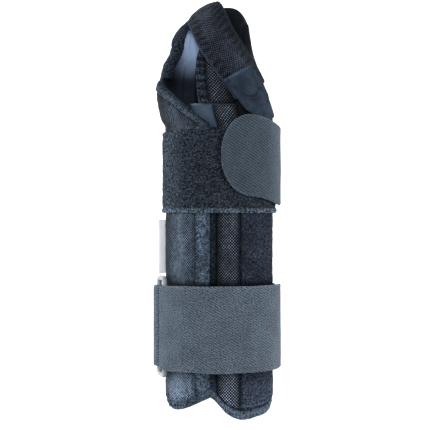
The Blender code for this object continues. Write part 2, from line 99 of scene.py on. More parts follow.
# Edges of the panels in y, at even steps of angle
RADIAL_BOTTOM = [-108.0, -116.3, -114.9, -108.0]
RADIAL_TOP = [79.0, 73.5, 65.3, 50.0]
ULNAR_BOTTOM = [-106.5, -107.4, -109.2, -117.3, -120.9, -121.3, -120.2, -119.6, -117.4, -111.6,
                -104.5]
HAND_LINING_TOP = [93.0, 92.0, 87.5, 90.0, 101.0]
SIDE_TOP = [92.0, 89.0, 92.0, 103.0]
TONGUE_TOP = [95.0, 94.0, 91.0]
PALM_TOP = [111.5, 123.6, 124.4, 117.0, 103.0]
PALM_BOTTOM = [-104.0, -107.0, -108.0, -108.0, -106.0]

# Straps: limits in y, and angles round the sleeve
FOREARM_STRAP = (-93.0, -44.0)
STRAP_Y = sum(FOREARM_STRAP) / 2.0
SLEEVE_MIDDLE = np.array([STATIONS[2, 1], STRAP_Y, INNER_FLOOR + STATIONS[2, 3]])
FOREARM_TAIL_END = 86.0
WRIST_CUFF = (-1.5, 46.5)
CUFF_SEAM_Y = WRIST_CUFF[0] + 2.9
WRIST_BAND = (3.8, 46.5)
TAIL_TIP, TAIL_ROUND = 1.0, 29.0
TAIL_HALF = 23.2
TAIL_ROOT_Y, TAIL_TIP_Y = 26.4, 31.8
TAIL_BEND = (24.0, 84.0)

# Ring, and the folds of the strap round its bars
RING_SECTION = 1.5
RING_LENGTH = 54.0
RING_OFF = 7.8
RING_LOW_ANGLE, RING_HIGH_ANGLE = -87.0, -62.0
RING_CORNER = 3.0
RING_CLEAR = 2.2
RING_TAB_END = (-99.0, -104.0)
FOLD_THICK = 1.4
FOLD_RADIUS = RING_SECTION + 0.35 + FOLD_THICK / 2.0
FOLD_STEPS = 16

# Web strap from the palm to the back of the hand: centre, half of its width, bulge of its middle
WEB_STATIONS = [
    ((-2.5, 100.0, 7.4), (7.0, 1.5, 0.0), (0.0, 0.0, 0.0)),
    ((-4.5, 111.0, 10.0), (7.6, 2.6, 0.0), (0.0, 0.0, 0.0)),
    ((-9.0, 119.0, 21.0), (7.8, 4.8, 0.6), (-1.0, 2.4, 0.3)),
    ((-7.2, 114.8, 35.0), (8.8, 6.4, 0.4), (0.0, 0.0, 0.0)),
]
# On the dorsal side: centre and half of its width, in x and y
WEB_DORSAL = [
    ((-0.4, 99.6), (9.0, 6.6)),
    ((8.4, 86.4), (8.9, 6.5)),
    ((15.7, 75.9), (8.6, 6.2)),
    ((19.6, 69.4), (8.2, 6.0)),
]
WEB_OFF = 5.3
# Binding tapes of the web strap: name, column of its grid, radius and tone
WEB_TAPES = (("web_tape_left", 0, 0.85, 1.0), ("web_tape_right", -1, 0.95, 0.5))
# Suede tab: centre, half of its width, and height over the inner face
TAB_STATIONS = [
    ((10.9, 79.4), (7.6, 4.6), 8.3),
    ((17.6, 70.6), (7.4, 5.2), 8.3),
    ((22.6, 63.6), (6.6, 5.4), 7.4),
    ((25.0, 60.6), (5.3, 4.7), 6.2),
    ((25.8, 58.4), (5.4, 5.0), 5.6),
    ((28.6, 53.6), (4.6, 4.4), 5.1),
    ((29.8, 51.2), (3.8, 4.2), 5.1),
]
SEAM_HALF = 0.78

# Aluminium stay, its pocket and the care label
STAY_X, STAY_HALF = 1.23, 9.0
STAY_Y = (-104.0, 78.0)
STAY_Z = (8.3, 9.9)
POCKET_THICK, POCKET_CLEAR, POCKET_TOP_Y = 0.8, 1.2, 80.0
LABEL_Y = (-37.5, -5.5)
LABEL_PATH = np.array([(0.0, 0.0, 0.0), (-1.2, 0.0, 0.3), (-2.4, 0.0, 0.55), (-3.5, 0.0, 0.75),
                       (-4.4, 0.0, 0.85)])

# Shared by reliefs and tones: a degree of the sleeve in millimetres, and where the elbow end fades
DEGREE_RUN = math.radians(1.0) * 31.0
PUCKER_PITCH = 4.4
ELBOW_END_Y, ELBOW_END_LONG_Y = (-108.0, -92.0), (-108.0, -90.0)
SELVAGE_RISE, SELVAGE_FALL = (0.2, 0.6), (1.3, 2.0)
PATH_STEP = 0.8
STITCH_OFF = 3.85
RIM_UP = (0.3, 0.4, 1.0)


def smoothstep(low, high, value):
    """0 below low, 1 above high, and a smooth rise between them."""
    part = np.clip((np.asarray(value, float) - low) / (high - low), 0.0, 1.0)
    return part * part * (3.0 - 2.0 * part)


def fade(low, high, value):
    """1 below low, 0 above high, and a smooth fall between them."""
    return 1.0 - smoothstep(low, high, value)


def ridge(value, centre, width):
    """1 at the centre, with a smooth fall on both sides."""
    return np.exp(-((value - centre) / width) ** 2)


def unit(vectors):
    """The vectors at unit length."""
    return vectors / np.linalg.norm(vectors, axis=-1, keepdims=True)


def run_along(path):
    """Distance along a path at each of its points."""
    return np.concatenate([[0.0], np.cumsum(np.linalg.norm(np.diff(path, axis=0), axis=1))])


def read_path(values, run, places):
    """Points or vectors of a path, read at places along it."""
    return np.stack([np.interp(places, run, values[:, k]) for k in range(3)], -1)


def knot_slopes(places, values):
    """Slopes at the stations: none where the values level out or turn."""
    rise = np.diff(values) / np.diff(places)
    slopes = np.zeros(len(values))
    same = rise[:-1] * rise[1:] > 0.0
    mean = 2.0 * rise[:-1] * rise[1:] / np.where(same, rise[:-1] + rise[1:], 1.0)
    slopes[1:-1] = np.where(same, mean, 0.0)
    return slopes


def hermite(low, high, slope_low, slope_high, part):
    """Cubic from low to high with the given end slopes."""
    square, cube = part * part, part ** 3
    start = (2.0 * cube - 3.0 * square + 1.0) * low + (cube - 2.0 * square + part) * slope_low
    return start + (3.0 * square - 2.0 * cube) * high + (cube - square) * slope_high


def station(y):
    """Centre x, half width and half depth of the inner face at y."""
    places = STATIONS[:, 0]
    y = np.clip(y, places[0], places[-1])
    index = np.clip(np.searchsorted(places, y, side="right") - 1, 0, len(places) - 2)
    span = places[index + 1] - places[index]
    part = (y - places[index]) / span
    result = []
    for column in (1, 2, 3):
        values = STATIONS[:, column]
        slopes = knot_slopes(places, values)
        low, high = values[index], values[index + 1]
        result.append(hermite(low, high, slopes[index] * span, slopes[index + 1] * span, part))
    return result


def curve(values, part):
    """Smooth curve through evenly spaced values, or rows of values, read at part from 0 to 1."""
    values = np.asarray(values, float)
    place = np.clip(np.asarray(part, float), 0.0, 1.0) * (len(values) - 1)
    index = np.minimum(place.astype(int), len(values) - 2)
    padded = np.concatenate([2 * values[:1] - values[1:2], values, 2 * values[-1:] - values[-2:-1]])
    before, low, high, after = (padded[index + k] for k in range(4))
    share = place - index
    if values.ndim > 1:
        share = share[..., None]
    return hermite(low, high, (high - before) / 2.0, (after - low) / 2.0, share)


def sleeve(angle, y, off):
    """Points on the sleeve at angles, places along the arm and heights over the inner face."""
    angle, y, off = np.broadcast_arrays(*(np.asarray(v, float) for v in (angle, y, off)))
    centre, half_width, half_depth = station(y)
    sine, cosine = np.sin(np.radians(angle)), np.cos(np.radians(angle))
    power = 2.0 / np.where(cosine > 0.0, FRONT_POWER, BACK_POWER)
    x = centre + (half_width + off) * np.sign(sine) * np.abs(sine) ** power
    rise = (half_depth + off) * np.sign(cosine) * np.abs(cosine) ** power
    return np.stack([x, y, INNER_FLOOR + half_depth + rise], -1)


def dorsal_point(x, y, off):
    """Points of the dorsal half over given x and y."""
    x, y, off = np.broadcast_arrays(*(np.asarray(v, float) for v in (x, y, off)))
    centre, half_width, half_depth = station(y)
    share = np.minimum(0.985, np.abs(x - centre) / (half_width + off))
    rise = (1.0 - share ** FRONT_POWER) ** (1.0 / FRONT_POWER)
    return np.stack([x, y, INNER_FLOOR + half_depth + (half_depth + off) * rise], -1)


def lap(angle):
    """Height of what crosses the place where the radial flap laps over the ulnar one."""
    return LAP * smoothstep(*LAP_START, angle) * fade(*LAP_END, angle)


def flap_lap(angle):
    """The same for the radial flap itself."""
    return LAP * smoothstep(*LAP_START, angle)


def edge_line(values, start, end, shift=0.0):
    """An edge of a panel: y at an angle, on a smooth curve that runs from start to end."""
    return lambda angle: curve(values, (np.asarray(angle, float) - start) / (end - start)) + shift


def level(value):
    """An edge of a panel at one place along the arm."""
    return lambda angle: np.full(np.shape(angle), float(value))


def lattice(i, j, seed):
    """Repeatable value from 0 to 1 for a lattice point."""
    mixed = np.sin(i * 127.1 + j * 311.7 + seed * 74.7) * 43758.5453
    return mixed - np.floor(mixed)


def noise(u, v, seed):
    """Smooth value noise from -1 to 1, one cell to a unit."""
    i, j = np.floor(u), np.floor(v)
    a, b = u - i, v - j
    a, b = a * a * (3.0 - 2.0 * a), b * b * (3.0 - 2.0 * b)
    low = lattice(i, j, seed) * (1.0 - a) + lattice(i + 1, j, seed) * a
    high = lattice(i, j + 1, seed) * (1.0 - a) + lattice(i + 1, j + 1, seed) * a
    return 2.0 * (low * (1.0 - b) + high * b) - 1.0


def waves(run, pitch, shift=0.0):
    """Even waves along a run."""
    return np.cos(2.0 * np.pi * run / pitch + shift)


def folds(u, v, seed):
    """Two octaves of noise, for the uneven lie of cloth."""
    return noise(u, v, seed) + 0.5 * noise(2.1 * u, 2.1 * v, seed + 7)


# Meshes ------------------------------------------------------------------------------------

def make_mesh(name, points, quads, uv, material, body, nodes=(), tone=1.0):
    """A smooth mesh piece from points in millimetres, with its weave's UV map and its tone, which
    carries painted light and shade as well as uneven colour.
    """
    mesh = bpy.data.meshes.new(name)
    quads = np.asarray(quads, np.int32)
    count, sides = quads.shape
    mesh.vertices.add(len(points))
    mesh.vertices.foreach_set("co", ((np.asarray(points) - MIDDLE) * MM).astype(np.float32).ravel())
    mesh.loops.add(count * sides)
    mesh.loops.foreach_set("vertex_index", quads.ravel())
    mesh.polygons.add(count)
    mesh.polygons.foreach_set("loop_start", np.arange(count, dtype=np.int32) * sides)
    mesh.update(calc_edges=True)
    mesh.validate()
    layer = mesh.uv_layers.new(name="weave")
    layer.data.foreach_set("uv", np.asarray(uv)[quads.ravel()].astype(np.float32).ravel())
    mesh.polygons.foreach_set("use_smooth", np.ones(count, bool))
    shade = np.broadcast_to(np.asarray(tone, np.float32), (len(points),))
    mesh.attributes.new("tone", "FLOAT", "POINT").data.foreach_set("value", shade)
    piece = bpy.data.objects.new(name, mesh)
    bpy.context.scene.collection.objects.link(piece)
    mesh.materials.append(material)
    if body:
        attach(piece, body)
    if nodes:
        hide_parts(*nodes)
    return piece


def pairs(rows, columns):
    """Every pair of a row and a column number."""
    i, j = np.meshgrid(np.arange(rows), np.arange(columns), indexing="ij")
    return i.ravel(), j.ravel()


def grid_quads(rows, columns):
    """Quads between neighbouring rows and columns of a grid."""
    i, j = pairs(rows - 1, columns - 1)
    corner = i * columns + j
    return np.stack([corner, corner + columns, corner + columns + 1, corner + 1], -1)


def ring_quads(count, sides, closed=False):
    """Quads between neighbouring rings of points."""
    i, k = pairs(count if closed else count - 1, sides)
    j, m = (i + 1) % count, (k + 1) % sides
    return np.stack([i * sides + k, i * sides + m, j * sides + m, j * sides + k], -1)


def closed_shell(name, outer, inner, uv, material, body, nodes=(), tone=1.0):
    """A closed piece between an outer and an inner grid of points."""
    rows, columns = outer.shape[:2]
    count = rows * columns
    index = np.arange(count).reshape(rows, columns)
    here = np.concatenate([index[:, 0], index[-1, 1:], index[-2::-1, -1], index[0, -2:0:-1]])
    after = np.roll(here, -1)
    rim = np.stack([after, here, here + count, after + count], -1)
    top = grid_quads(rows, columns)
    quads = np.concatenate([top, top[:, ::-1] + count, rim])
    i, j = rows // 2, columns // 2
    normal = np.cross(outer[i + 1, j] - outer[i, j], outer[i, j + 1] - outer[i, j])
    if np.dot(normal, outer[i, j] - inner[i, j]) < 0.0:
        quads = quads[:, ::-1]
    points = np.concatenate([outer.reshape(-1, 3), inner.reshape(-1, 3)])
    both = np.concatenate([uv.reshape(-1, 2)] * 2)
    shade = np.tile(np.broadcast_to(tone, outer.shape[:2]).ravel(), 2)
    return make_mesh(name, points, quads, both, material, body, nodes, shade)


def weave_uv(grid):
    """UV in millimetres: the run along the first direction, and the place along the arm."""
    steps = np.linalg.norm(np.diff(grid, axis=0), axis=-1).mean(axis=1)
    run = np.concatenate([[0.0], np.cumsum(steps)])
    return np.stack([np.repeat(run[:, None], grid.shape[1], 1), grid[..., 1]], -1)


def rounding(distance, radius):
    """Share of the full thickness at a distance from an edge that is rounded to a radius."""
    if radius <= 0.0:
        return np.ones(np.shape(distance))
    part = np.clip(distance / radius, 0.0, 1.0)
    return np.sqrt(np.maximum(0.0, 1.0 - (1.0 - part) ** 2))


def panel_field(span, bottom, top, step):
    """Angles, places and distances to the four edges of a panel, on a grid of about a step."""
    low, high = span
    columns = max(4, int(abs(high - low) * DEGREE_RUN / step))
    middle = np.linspace(low, high, 9)
    rows = max(4, int(np.max(top(middle) - bottom(middle)) / step))
    angle = np.linspace(low, high, columns + 1)[:, None]
    along = np.linspace(0.0, 1.0, rows + 1)[None, :]
    floor, roof = bottom(angle[:, 0])[:, None], top(angle[:, 0])[:, None]
    y = floor + (roof - floor) * along
    angle = np.broadcast_to(angle, y.shape)
    sides = ((angle - low) * DEGREE_RUN, (high - angle) * DEGREE_RUN, y - floor, roof - y)
    return angle, y, sides


def panel(name, span, bottom, top, layer, material, rise=None, relief=None, step=1.0,
          radii=(1.2,) * 4, nodes=(), slot=None, back=None, tone=None):
    """A padded panel of the sleeve with rounded edges and a relief on its outer face."""
    angle, y, sides = panel_field(span, bottom, top, step)
    share = np.ones(y.shape)
    for distance, radius in zip(sides, radii):
        share = share * rounding(distance, radius)
    middle, half = sum(layer) / 2.0, (layer[1] - layer[0]) / 2.0
    lift = rise(angle) if rise else 0.0
    extra = relief(angle, y, sides) if relief else 0.0
    under = back(angle, y, sides) if back else 0.0
    outer = sleeve(angle, y, middle + half * share + lift + extra * np.minimum(1.0, share * 1.5))
    inner = sleeve(angle, y, middle - half * share + lift - 0.02 + under)
    shade = tone(angle, y, sides) if tone else 1.0
    closed_shell(name, outer, inner, weave_uv(outer), material, "root", nodes, shade)


def tube(name, path, radius, material, body="root", sides=12, closed=False, nodes=(),
         flat=1.0, up=(0.0, 0.0, 1.0), tone=1.0):
    """A round or flattened tube along a path, with closed ends."""
    path = np.asarray(path, float)
    count = len(path)
    radius = np.broadcast_to(np.asarray(radius, float), (count,))
    run = np.roll(path, -1, 0) - np.roll(path, 1, 0) if closed else np.gradient(path, axis=0)
    side = unit(np.cross(run, up))
    lift = unit(np.cross(side, run))
    turn = np.linspace(0.0, 2.0 * np.pi, sides, endpoint=False)[None, :, None]
    ring = side[:, None] * np.cos(turn) + flat * lift[:, None] * np.sin(turn)
    points = (path[:, None] + radius[:, None, None] * ring).reshape(-1, 3)
    around = 2.0 * np.pi * float(radius.mean()) * np.arange(sides) / sides
    uv = np.stack(np.broadcast_arrays(around[None, :], run_along(path)[:, None]), -1).reshape(-1, 2)
    quads = ring_quads(count, sides, closed)
    if not closed:
        last = (count - 1) * sides
        k = np.arange(0, sides, 2)
        m, n = k + 1, (k + 2) % sides
        centre = np.full_like(k, count * sides)
        start_cap = np.stack([centre, n, m, k], -1)
        end_cap = np.stack([centre + 1, last + k, last + m, last + n], -1)
        quads = np.concatenate([quads, start_cap, end_cap])
        points = np.concatenate([points, path[:1], path[-1:]])
        uv = np.concatenate([uv, uv[:1], uv[-1:]])
    make_mesh(name, points, quads, uv, material, body, nodes, tone)


# Rings of a stitch: place along it, width and height, as shares of its length and radius
STITCH_RINGS = np.array([(-0.5, 0.05, -1.2), (-0.36, 0.8, -0.1), (0.0, 1.0, 0.35),
                         (0.36, 0.8, -0.1), (0.5, 0.05, -1.2)])
STITCH_SIDES = 6


def stitches(name, rows, material, length=2.1, gap=0.7, radius=0.22):
    """Rows of sewn threads: each row is a path on the cloth and the normals along it."""
    share, width, height = STITCH_RINGS.T[:, :, None, None]
    last = (len(STITCH_RINGS) - 1) * STITCH_SIDES
    caps = [(3, 2, 1, 0), (5, 4, 3, 0), (last, last + 1, last + 2, last + 3),
            (last, last + 3, last + 4, last + 5)]
    one = np.concatenate([ring_quads(len(STITCH_RINGS), STITCH_SIDES), caps])
    turn = np.linspace(0.0, 2.0 * np.pi, STITCH_SIDES, endpoint=False)[:, None]
    points, quads = [], []
    for path, normal in rows:
        run = run_along(path)
        count = max(1, int(run[-1] / (length + gap)))
        for place in (np.arange(count) + 0.5) * run[-1] / count:
            behind, centre, ahead = read_path(path, run, place + np.array([-0.4, 0.0, 0.4]))
            along, up = unit(ahead - behind), unit(read_path(normal, run, place))
            ring = np.cross(along, up) * np.cos(turn) + up * np.sin(turn)
            middle = centre + along * share * length + up * height * radius
            quads.append(one + len(points) * len(STITCH_RINGS) * STITCH_SIDES)
            points.append((middle + ring * radius * width).reshape(-1, 3))
    points = np.concatenate(points)
    make_mesh(name, points, np.concatenate(quads), points[:, :2], material, "root")


def on_sleeve(angle, y, off):
    """A path on the sleeve and the outward normals along it."""
    path = sleeve(angle, y, off)
    return path, unit(sleeve(angle, y, off + 1.0) - path)


# Materials ---------------------------------------------------------------------------------

def tint(red, green, blue):
    """Linear colour from an sRGB one given from 0 to 255."""
    result = []
    for value in (red, green, blue):
        part = value / 255.0
        result.append(part / 12.92 if part <= 0.04045 else ((part + 0.055) / 1.055) ** 2.4)
    return (*result, 1.0)


SHEEN_TINT = (0.45, 0.6, 0.8, 1.0)
SHEEN_ROUGHNESS = 0.45
DIAGONAL = 0.7071


class Value:
    """A number inside a material: arithmetic with it adds Math nodes."""

    def __init__(self, look, socket):
        self.look = look
        self.socket = socket

    def __add__(self, other):
        return self.look.math("ADD", self, other)

    def __sub__(self, other):
        return self.look.math("SUBTRACT", self, other)

    def __rsub__(self, other):
        return self.look.math("SUBTRACT", other, self)

    def __mul__(self, other):
        return self.look.math("MULTIPLY", self, other)

    def spread(self, low, high, new_low=0.0, new_high=1.0):
        """The number moved from one range to another, and held inside it."""
        made = self.look.node("ShaderNodeMapRange", Value=self)
        for name, number in zip(("From Min", "From Max", "To Min", "To Max"),
                                (low, high, new_low, new_high)):
            made.inputs[name].default_value = number
        return Value(self.look, made.outputs["Result"])


class Fabric:
    """A Principled material that is put together node by node."""

    def __init__(self, name, rough=0.9, sheen=0.0, specular=0.12, metal=0.0):
        self.material = bpy.data.materials.new(name)
        self.material.use_nodes = True
        self.tree = self.material.node_tree
        self.shader = self.tree.nodes["Principled BSDF"]
        settings = {"Roughness": rough, "Metallic": metal, "Specular IOR Level": specular,
                    "Sheen Weight": sheen, "Sheen Roughness": SHEEN_ROUGHNESS,
                    "Sheen Tint": SHEEN_TINT}
        for setting, value in settings.items():
            self.shader.inputs[setting].default_value = value
        uv = self.node("ShaderNodeUVMap")
        uv.uv_map = "weave"
        self.weave = uv.outputs["UV"]
        parts = self.node("ShaderNodeSeparateXYZ", Vector=self.weave)
        self.u, self.v = Value(self, parts.outputs["X"]), Value(self, parts.outputs["Y"])
        tone = self.node("ShaderNodeAttribute")
        tone.attribute_name = "tone"
        self.tone = tone.outputs["Fac"]

    def node(self, kind, **inputs):
        """A new node, with its inputs set to numbers or joined to sockets."""
        made = self.tree.nodes.new(kind)
        for name, value in inputs.items():
            self.feed(made.inputs[name], value)
        return made

    def feed(self, socket, value):
        """Set a socket to a number or a colour, or join it to another one."""
        if isinstance(value, Value):
            value = value.socket
        if isinstance(value, bpy.types.NodeSocket):
            self.tree.links.new(value, socket)
        else:
            socket.default_value = value

    def math(self, operation, *values):
        """Result of a Math node."""
        made = self.node("ShaderNodeMath")
        made.operation = operation
        for socket, value in zip(made.inputs, values):
            self.feed(socket, value)
        return Value(self, made.outputs["Value"])

    def mix(self, share, first, second):
        """Colour between two others."""
        made = self.node("ShaderNodeMix")
        made.data_type = "RGBA"
        self.feed(made.inputs["Factor"], share)
        self.feed(made.inputs["A"], first)
        self.feed(made.inputs["B"], second)
        return made.outputs["Result"]

    def scaled(self, colour, amount):
        """Colour or vector multiplied by a number."""
        made = self.node("ShaderNodeVectorMath")
        made.operation = "SCALE"
        self.feed(made.inputs["Vector"], colour)
        self.feed(made.inputs["Scale"], amount)
        return made.outputs["Vector"]

    def noise(self, scale, detail=2.0, rough=0.6, across=1.0, along=1.0, warp=0.0):
        """Noise with about scale features to a millimetre, stretched across and along."""
        place = self.node("ShaderNodeMapping", Vector=self.weave, Scale=(across, along, 1.0))
        made = self.node("ShaderNodeTexNoise", Vector=place.outputs["Vector"], Scale=scale,
                         Detail=detail, Roughness=rough, Distortion=warp)
        return Value(self, made.outputs["Fac"])

    def mottle(self, scale, low, high):
        """Broad uneven lightness, round 1."""
        return self.noise(scale, 3.0).spread(0.34, 0.66, low, high)

    def thread(self, across, along, pitch, sharp=1.0):
        """Crests of threads that run at an angle: across and along give the way they cross."""
        run = (self.u * (across / pitch) + self.v * (along / pitch)) * math.pi
        crest = self.math("ABSOLUTE", self.math("SINE", run))
        return self.math("POWER", crest, sharp) if sharp != 1.0 else crest

    def done(self, colour, height, bump=0.4, depth=0.25, rough=None):
        """Join colour, bump and roughness, and give the material."""
        self.feed(self.shader.inputs["Base Color"], self.scaled(colour, self.tone))
        made = self.node("ShaderNodeBump", Height=height, Strength=bump, Distance=depth * MM)
        self.feed(self.shader.inputs["Normal"], made.outputs["Normal"])
        if rough is not None:
            self.feed(self.shader.inputs["Roughness"], rough)
        return self.material


def mesh_fabric(name, dark, light, pitch, hole=0.0, sharp=1.5):
    """Warp-knitted mesh: two diagonal sets of threads, with holes between them."""
    look = Fabric(name, rough=0.8, sheen=0.04, specular=0.15)
    look.u = look.u + (look.noise(0.35, 1.0) - 0.5) * 0.5
    one, two = (look.thread(DIAGONAL, side, pitch, sharp) for side in (DIAGONAL, -DIAGONAL))
    net = one * two
    height = look.math("MAXIMUM", one, two) - net * 0.35
    worn = look.noise(0.5, 3.0, 0.7).spread(0.36, 0.64, 0.45, 1.3)
    share = height.spread(0.45, 0.95) * worn * net.spread(hole, 1.0)
    colour = look.scaled(look.mix(share, dark, light), look.mottle(0.12, 0.8, 1.2))
    return look.done(colour, height, 0.8, 0.5)


def elastic_fabric(name, dark, light, pitch=1.5, line=0.45, sharp=1.0):
    """Woven elastic: a fine twill of heathered threads, with ribs along the strap's length."""
    look = Fabric(name, rough=0.8, sheen=0.08, specular=0.15)
    twill = look.thread(0.5, 0.86, pitch, sharp) * look.thread(0.86, -0.5, 0.9)
    weave = twill + look.thread(0.0, 1.0, 0.62) * 0.2
    heather = look.noise(1.0, 3.0, 0.75, along=1.3).spread(0.4, 0.6)
    flecks = look.noise(1.8, 2.0, 0.7).spread(0.42, 0.58)
    share = (weave * line + heather * 0.42 + flecks * 0.3).spread(0.27, 0.95)
    colour = look.scaled(look.mix(share, dark, light), look.mottle(0.09, 0.88, 1.12))
    rough = heather.spread(0.0, 1.0, 0.6, 0.85)
    return look.done(colour, weave + heather * 0.5, 0.7, 0.4, rough)


def pile_fabric(name, dark, light, size=1.0, flecks=0.5, sheen=0.06, ends=(0.15, 1.9)):
    """Brushed loop pile: tangled curls of fibre over a dark ground."""
    look = Fabric(name, rough=1.0, sheen=sheen, specular=0.06)
    curl = (look.noise(0.85 / size, 3.0, warp=2.2) - 0.5) * 7.0
    crest = look.math("MAXIMUM", 1.0 - look.math("ABSOLUTE", curl), 0.0)
    fine = look.noise(2.6 / size, 3.0, 0.7)
    tuft = look.noise(0.55 / size).spread(0.38, 0.64)
    spark = look.noise(0.8 / size, 4.0, 0.8).spread(0.53, 0.62, 0.0, flecks * 2.4)
    fibre = (crest * 0.7 + tuft) * fine.spread(0.4, 0.64, 0.05, 1.3) + spark
    colour = look.mix(fibre.spread(*ends), dark, light)
    colour = look.scaled(colour, look.mottle(0.1, 0.75, 1.25))
    return look.done(colour, fibre + fine * 0.7, 0.9, 0.55)


def brushed_fabric(name, dark, light, grain=1.0, sheen=0.3, bump=0.35):
    """Soft brushed knit or suede: a short nap with an uneven lie."""
    look = Fabric(name, rough=0.95, sheen=sheen * 0.25, specular=0.08)
    nap = look.noise(1.5 * grain, 4.0, 0.75)
    knit = look.thread(1.0, 0.0, 0.55) * look.thread(0.0, 1.0, 0.7)
    lie = look.noise(0.16, 3.0, warp=0.6).spread(0.3, 0.7)
    share = nap.spread(0.34, 0.66) * 0.6 + lie * 0.4 + knit * 0.12
    colour = look.mix(share.spread(0.1, 1.0), dark, light)
    return look.done(colour, nap + knit * 0.4, bump, 0.25, nap.spread(0.3, 0.7, 0.85, 1.0))


def hook_tape(name):
    """Moulded hooks in staggered rows on a dark woven tape."""
    look = Fabric(name, rough=0.5, specular=0.4)
    rows = look.thread(1.0, 0.0, 1.3, 3.0) * look.thread(0.0, 1.0, 0.9, 3.0)
    height = look.math("MAXIMUM", rows, look.thread(DIAGONAL, DIAGONAL, 0.8, 4.0) * 0.4)
    colour = look.mix(height.spread(0.1, 0.8), tint(20, 22, 26), tint(84, 90, 98))
    return look.done(colour, height, 0.9, 0.6, height.spread(0.0, 1.0, 0.75, 0.35))


def moulded_plastic(name, low, high):
    """Moulded acetal: a fine sparked texture, a little uneven and scuffed."""
    look = Fabric(name, rough=0.4, specular=0.45)
    scuff = look.noise(0.8, 4.0, 0.8, along=0.12).spread(0.55, 0.75)
    colour = look.mix(look.noise(0.15).spread(0.3, 0.7), low, high)
    rough = scuff.spread(0.0, 1.0, 0.34, 0.6)
    return look.done(colour, look.noise(6.0, 3.0) + scuff * 0.6, 0.15, 0.1, rough)


def brushed_metal(name):
    """Rolled aluminium with fine lengthwise scratches, on a CAD node's own coordinates."""
    look = Fabric(name, rough=0.35, metal=1.0, specular=0.5)
    look.weave = look.scaled(look.node("ShaderNodeTexCoord").outputs["Object"], 1.0 / MM)
    look.tone = 1.0
    lines = look.noise(3.0, 4.0, 0.7, across=3.0, along=0.06)
    colour = look.mix(lines, tint(196, 199, 202), tint(232, 233, 234))
    return look.done(colour, lines, 0.2, 0.08, lines.spread(0.3, 0.7, 0.26, 0.46))


def strip(name, path, normal, low, high, thick, material, body, nodes=(), slot=None, step=1.0,
          edge=0.6, relief=None, tone=None, selvage=0.0):
    """A woven strip as wide as its limits in y, on a path in x and z with normals to it."""
    run = run_along(path)
    low, high = (np.broadcast_to(np.asarray(v, float), (len(path),))[:, None] for v in (low, high))
    share = np.linspace(0.0, 1.0, max(4, int(np.max(high - low) / step)) + 1)[None, :]
    y = low + (high - low) * share
    near = np.minimum(y - low, high - y)
    end = np.minimum(run, run[-1] - run)[:, None]
    half = thick / 2.0 * np.maximum(0.12, rounding(near, edge) * rounding(end, edge))
    half = half + selvage * smoothstep(*SELVAGE_RISE, near) * fade(*SELVAGE_FALL, near)
    along = np.broadcast_to(run[:, None], y.shape)
    extra = relief(along, y, near) if relief else 0.0
    middle = np.repeat(path[:, None, :], y.shape[1], 1)
    middle[..., 1] = y
    outer = middle + normal[:, None, :] * (half + extra)[..., None]
    inner = middle - normal[:, None, :] * half[..., None]
    shade = tone(along, y, near) if tone else 1.0
    return closed_shell(name, outer, inner, np.stack([along, y], -1), material, body, nodes,
                        shade)


def with_normals(path, facing):
    """The path, and unit normals square to it on the side that it faces."""
    run = np.gradient(path, axis=0)
    normal = unit(np.stack([-run[:, 2], np.zeros(len(path)), run[:, 0]], -1))
    sign = np.sign(np.sum(normal * facing, axis=1))
    return path, normal * np.where(sign == 0.0, 1.0, sign)[:, None]


def sleeve_path(angles, off):
    """Path of a strap round the sleeve in x and z, and the normals to it."""
    return with_normals(*on_sleeve(angles, STRAP_Y, off + lap(angles)))


def smooth_path(points, step=PATH_STEP):
    """Evenly spaced points on a smooth curve through the given ones."""
    fine = curve(points, np.linspace(0.0, 1.0, 40 * len(points)))
    run = run_along(fine)
    return read_path(fine, run, np.linspace(0.0, run[-1], max(4, int(run[-1] / step)) + 1))


# Materials of the pieces -------------------------------------------------------------------

FINE_MESH = mesh_fabric("fine_mesh", tint(9, 14, 21), tint(176, 200, 228), 1.15)
OPEN_MESH = mesh_fabric("open_mesh", tint(8, 9, 13), tint(206, 226, 255), 1.25, 0.1, 2.6)
WEB_MESH = mesh_fabric("web_mesh", tint(8, 11, 17), tint(140, 156, 184), 1.1, 0.1, 2.0)
PILE = pile_fabric("loop_pile", tint(2, 4, 7), tint(176, 198, 222), 0.78, 0.55,
                   sheen=0.03, ends=(0.34, 1.75))
DARK_PILE = pile_fabric("dark_pile", tint(4, 7, 12), tint(130, 148, 174), 0.8,
                        sheen=0.04, ends=(0.26, 1.75))
BINDING = pile_fabric("fluffy_binding", tint(20, 30, 42), tint(172, 196, 222), 0.9)
HEM = pile_fabric("brushed_hem", tint(22, 32, 45), tint(184, 210, 240), 1.1)
LINING_FABRIC = brushed_fabric("brushed_lining", tint(132, 160, 204), tint(206, 226, 252), 1.0, 0.6)
SIDE_FABRIC = brushed_fabric("side_knit", tint(9, 10, 13), tint(36, 39, 46), 1.2, 0.1)
SUEDE = brushed_fabric("suede", tint(26, 32, 42), tint(68, 82, 100), 1.3)
SLEEK = brushed_fabric("sleek_knit", tint(58, 70, 84), tint(106, 125, 147))
ELASTIC = elastic_fabric("heathered_elastic", tint(2, 6, 12), tint(138, 154, 172), pitch=1.3)
TAIL_ELASTIC = elastic_fabric("dotted_elastic", tint(0, 1, 2), tint(94, 109, 122), pitch=1.45,
                              line=1.3, sharp=2.2)
HOOK_TAPE = hook_tape("hook_tape")
RING_PLASTIC = moulded_plastic("grey_acetal", tint(160, 168, 175), tint(184, 190, 196))
LABEL_SATIN = brushed_fabric("satin_label", tint(244, 249, 255), tint(255, 255, 255), 0.5, 0.2, 0.2)
STAY_METAL = brushed_metal("rolled_aluminium")
BINDING_TAPE = brushed_fabric("binding_tape", tint(26, 32, 41), tint(70, 82, 98))
THREAD = elastic_fabric("sewing_thread", tint(20, 25, 33), tint(60, 70, 84))
PALE_THREAD = elastic_fabric("pale_thread", tint(110, 124, 140), tint(170, 185, 202))


# Forearm strap -----------------------------------------------------------------------------

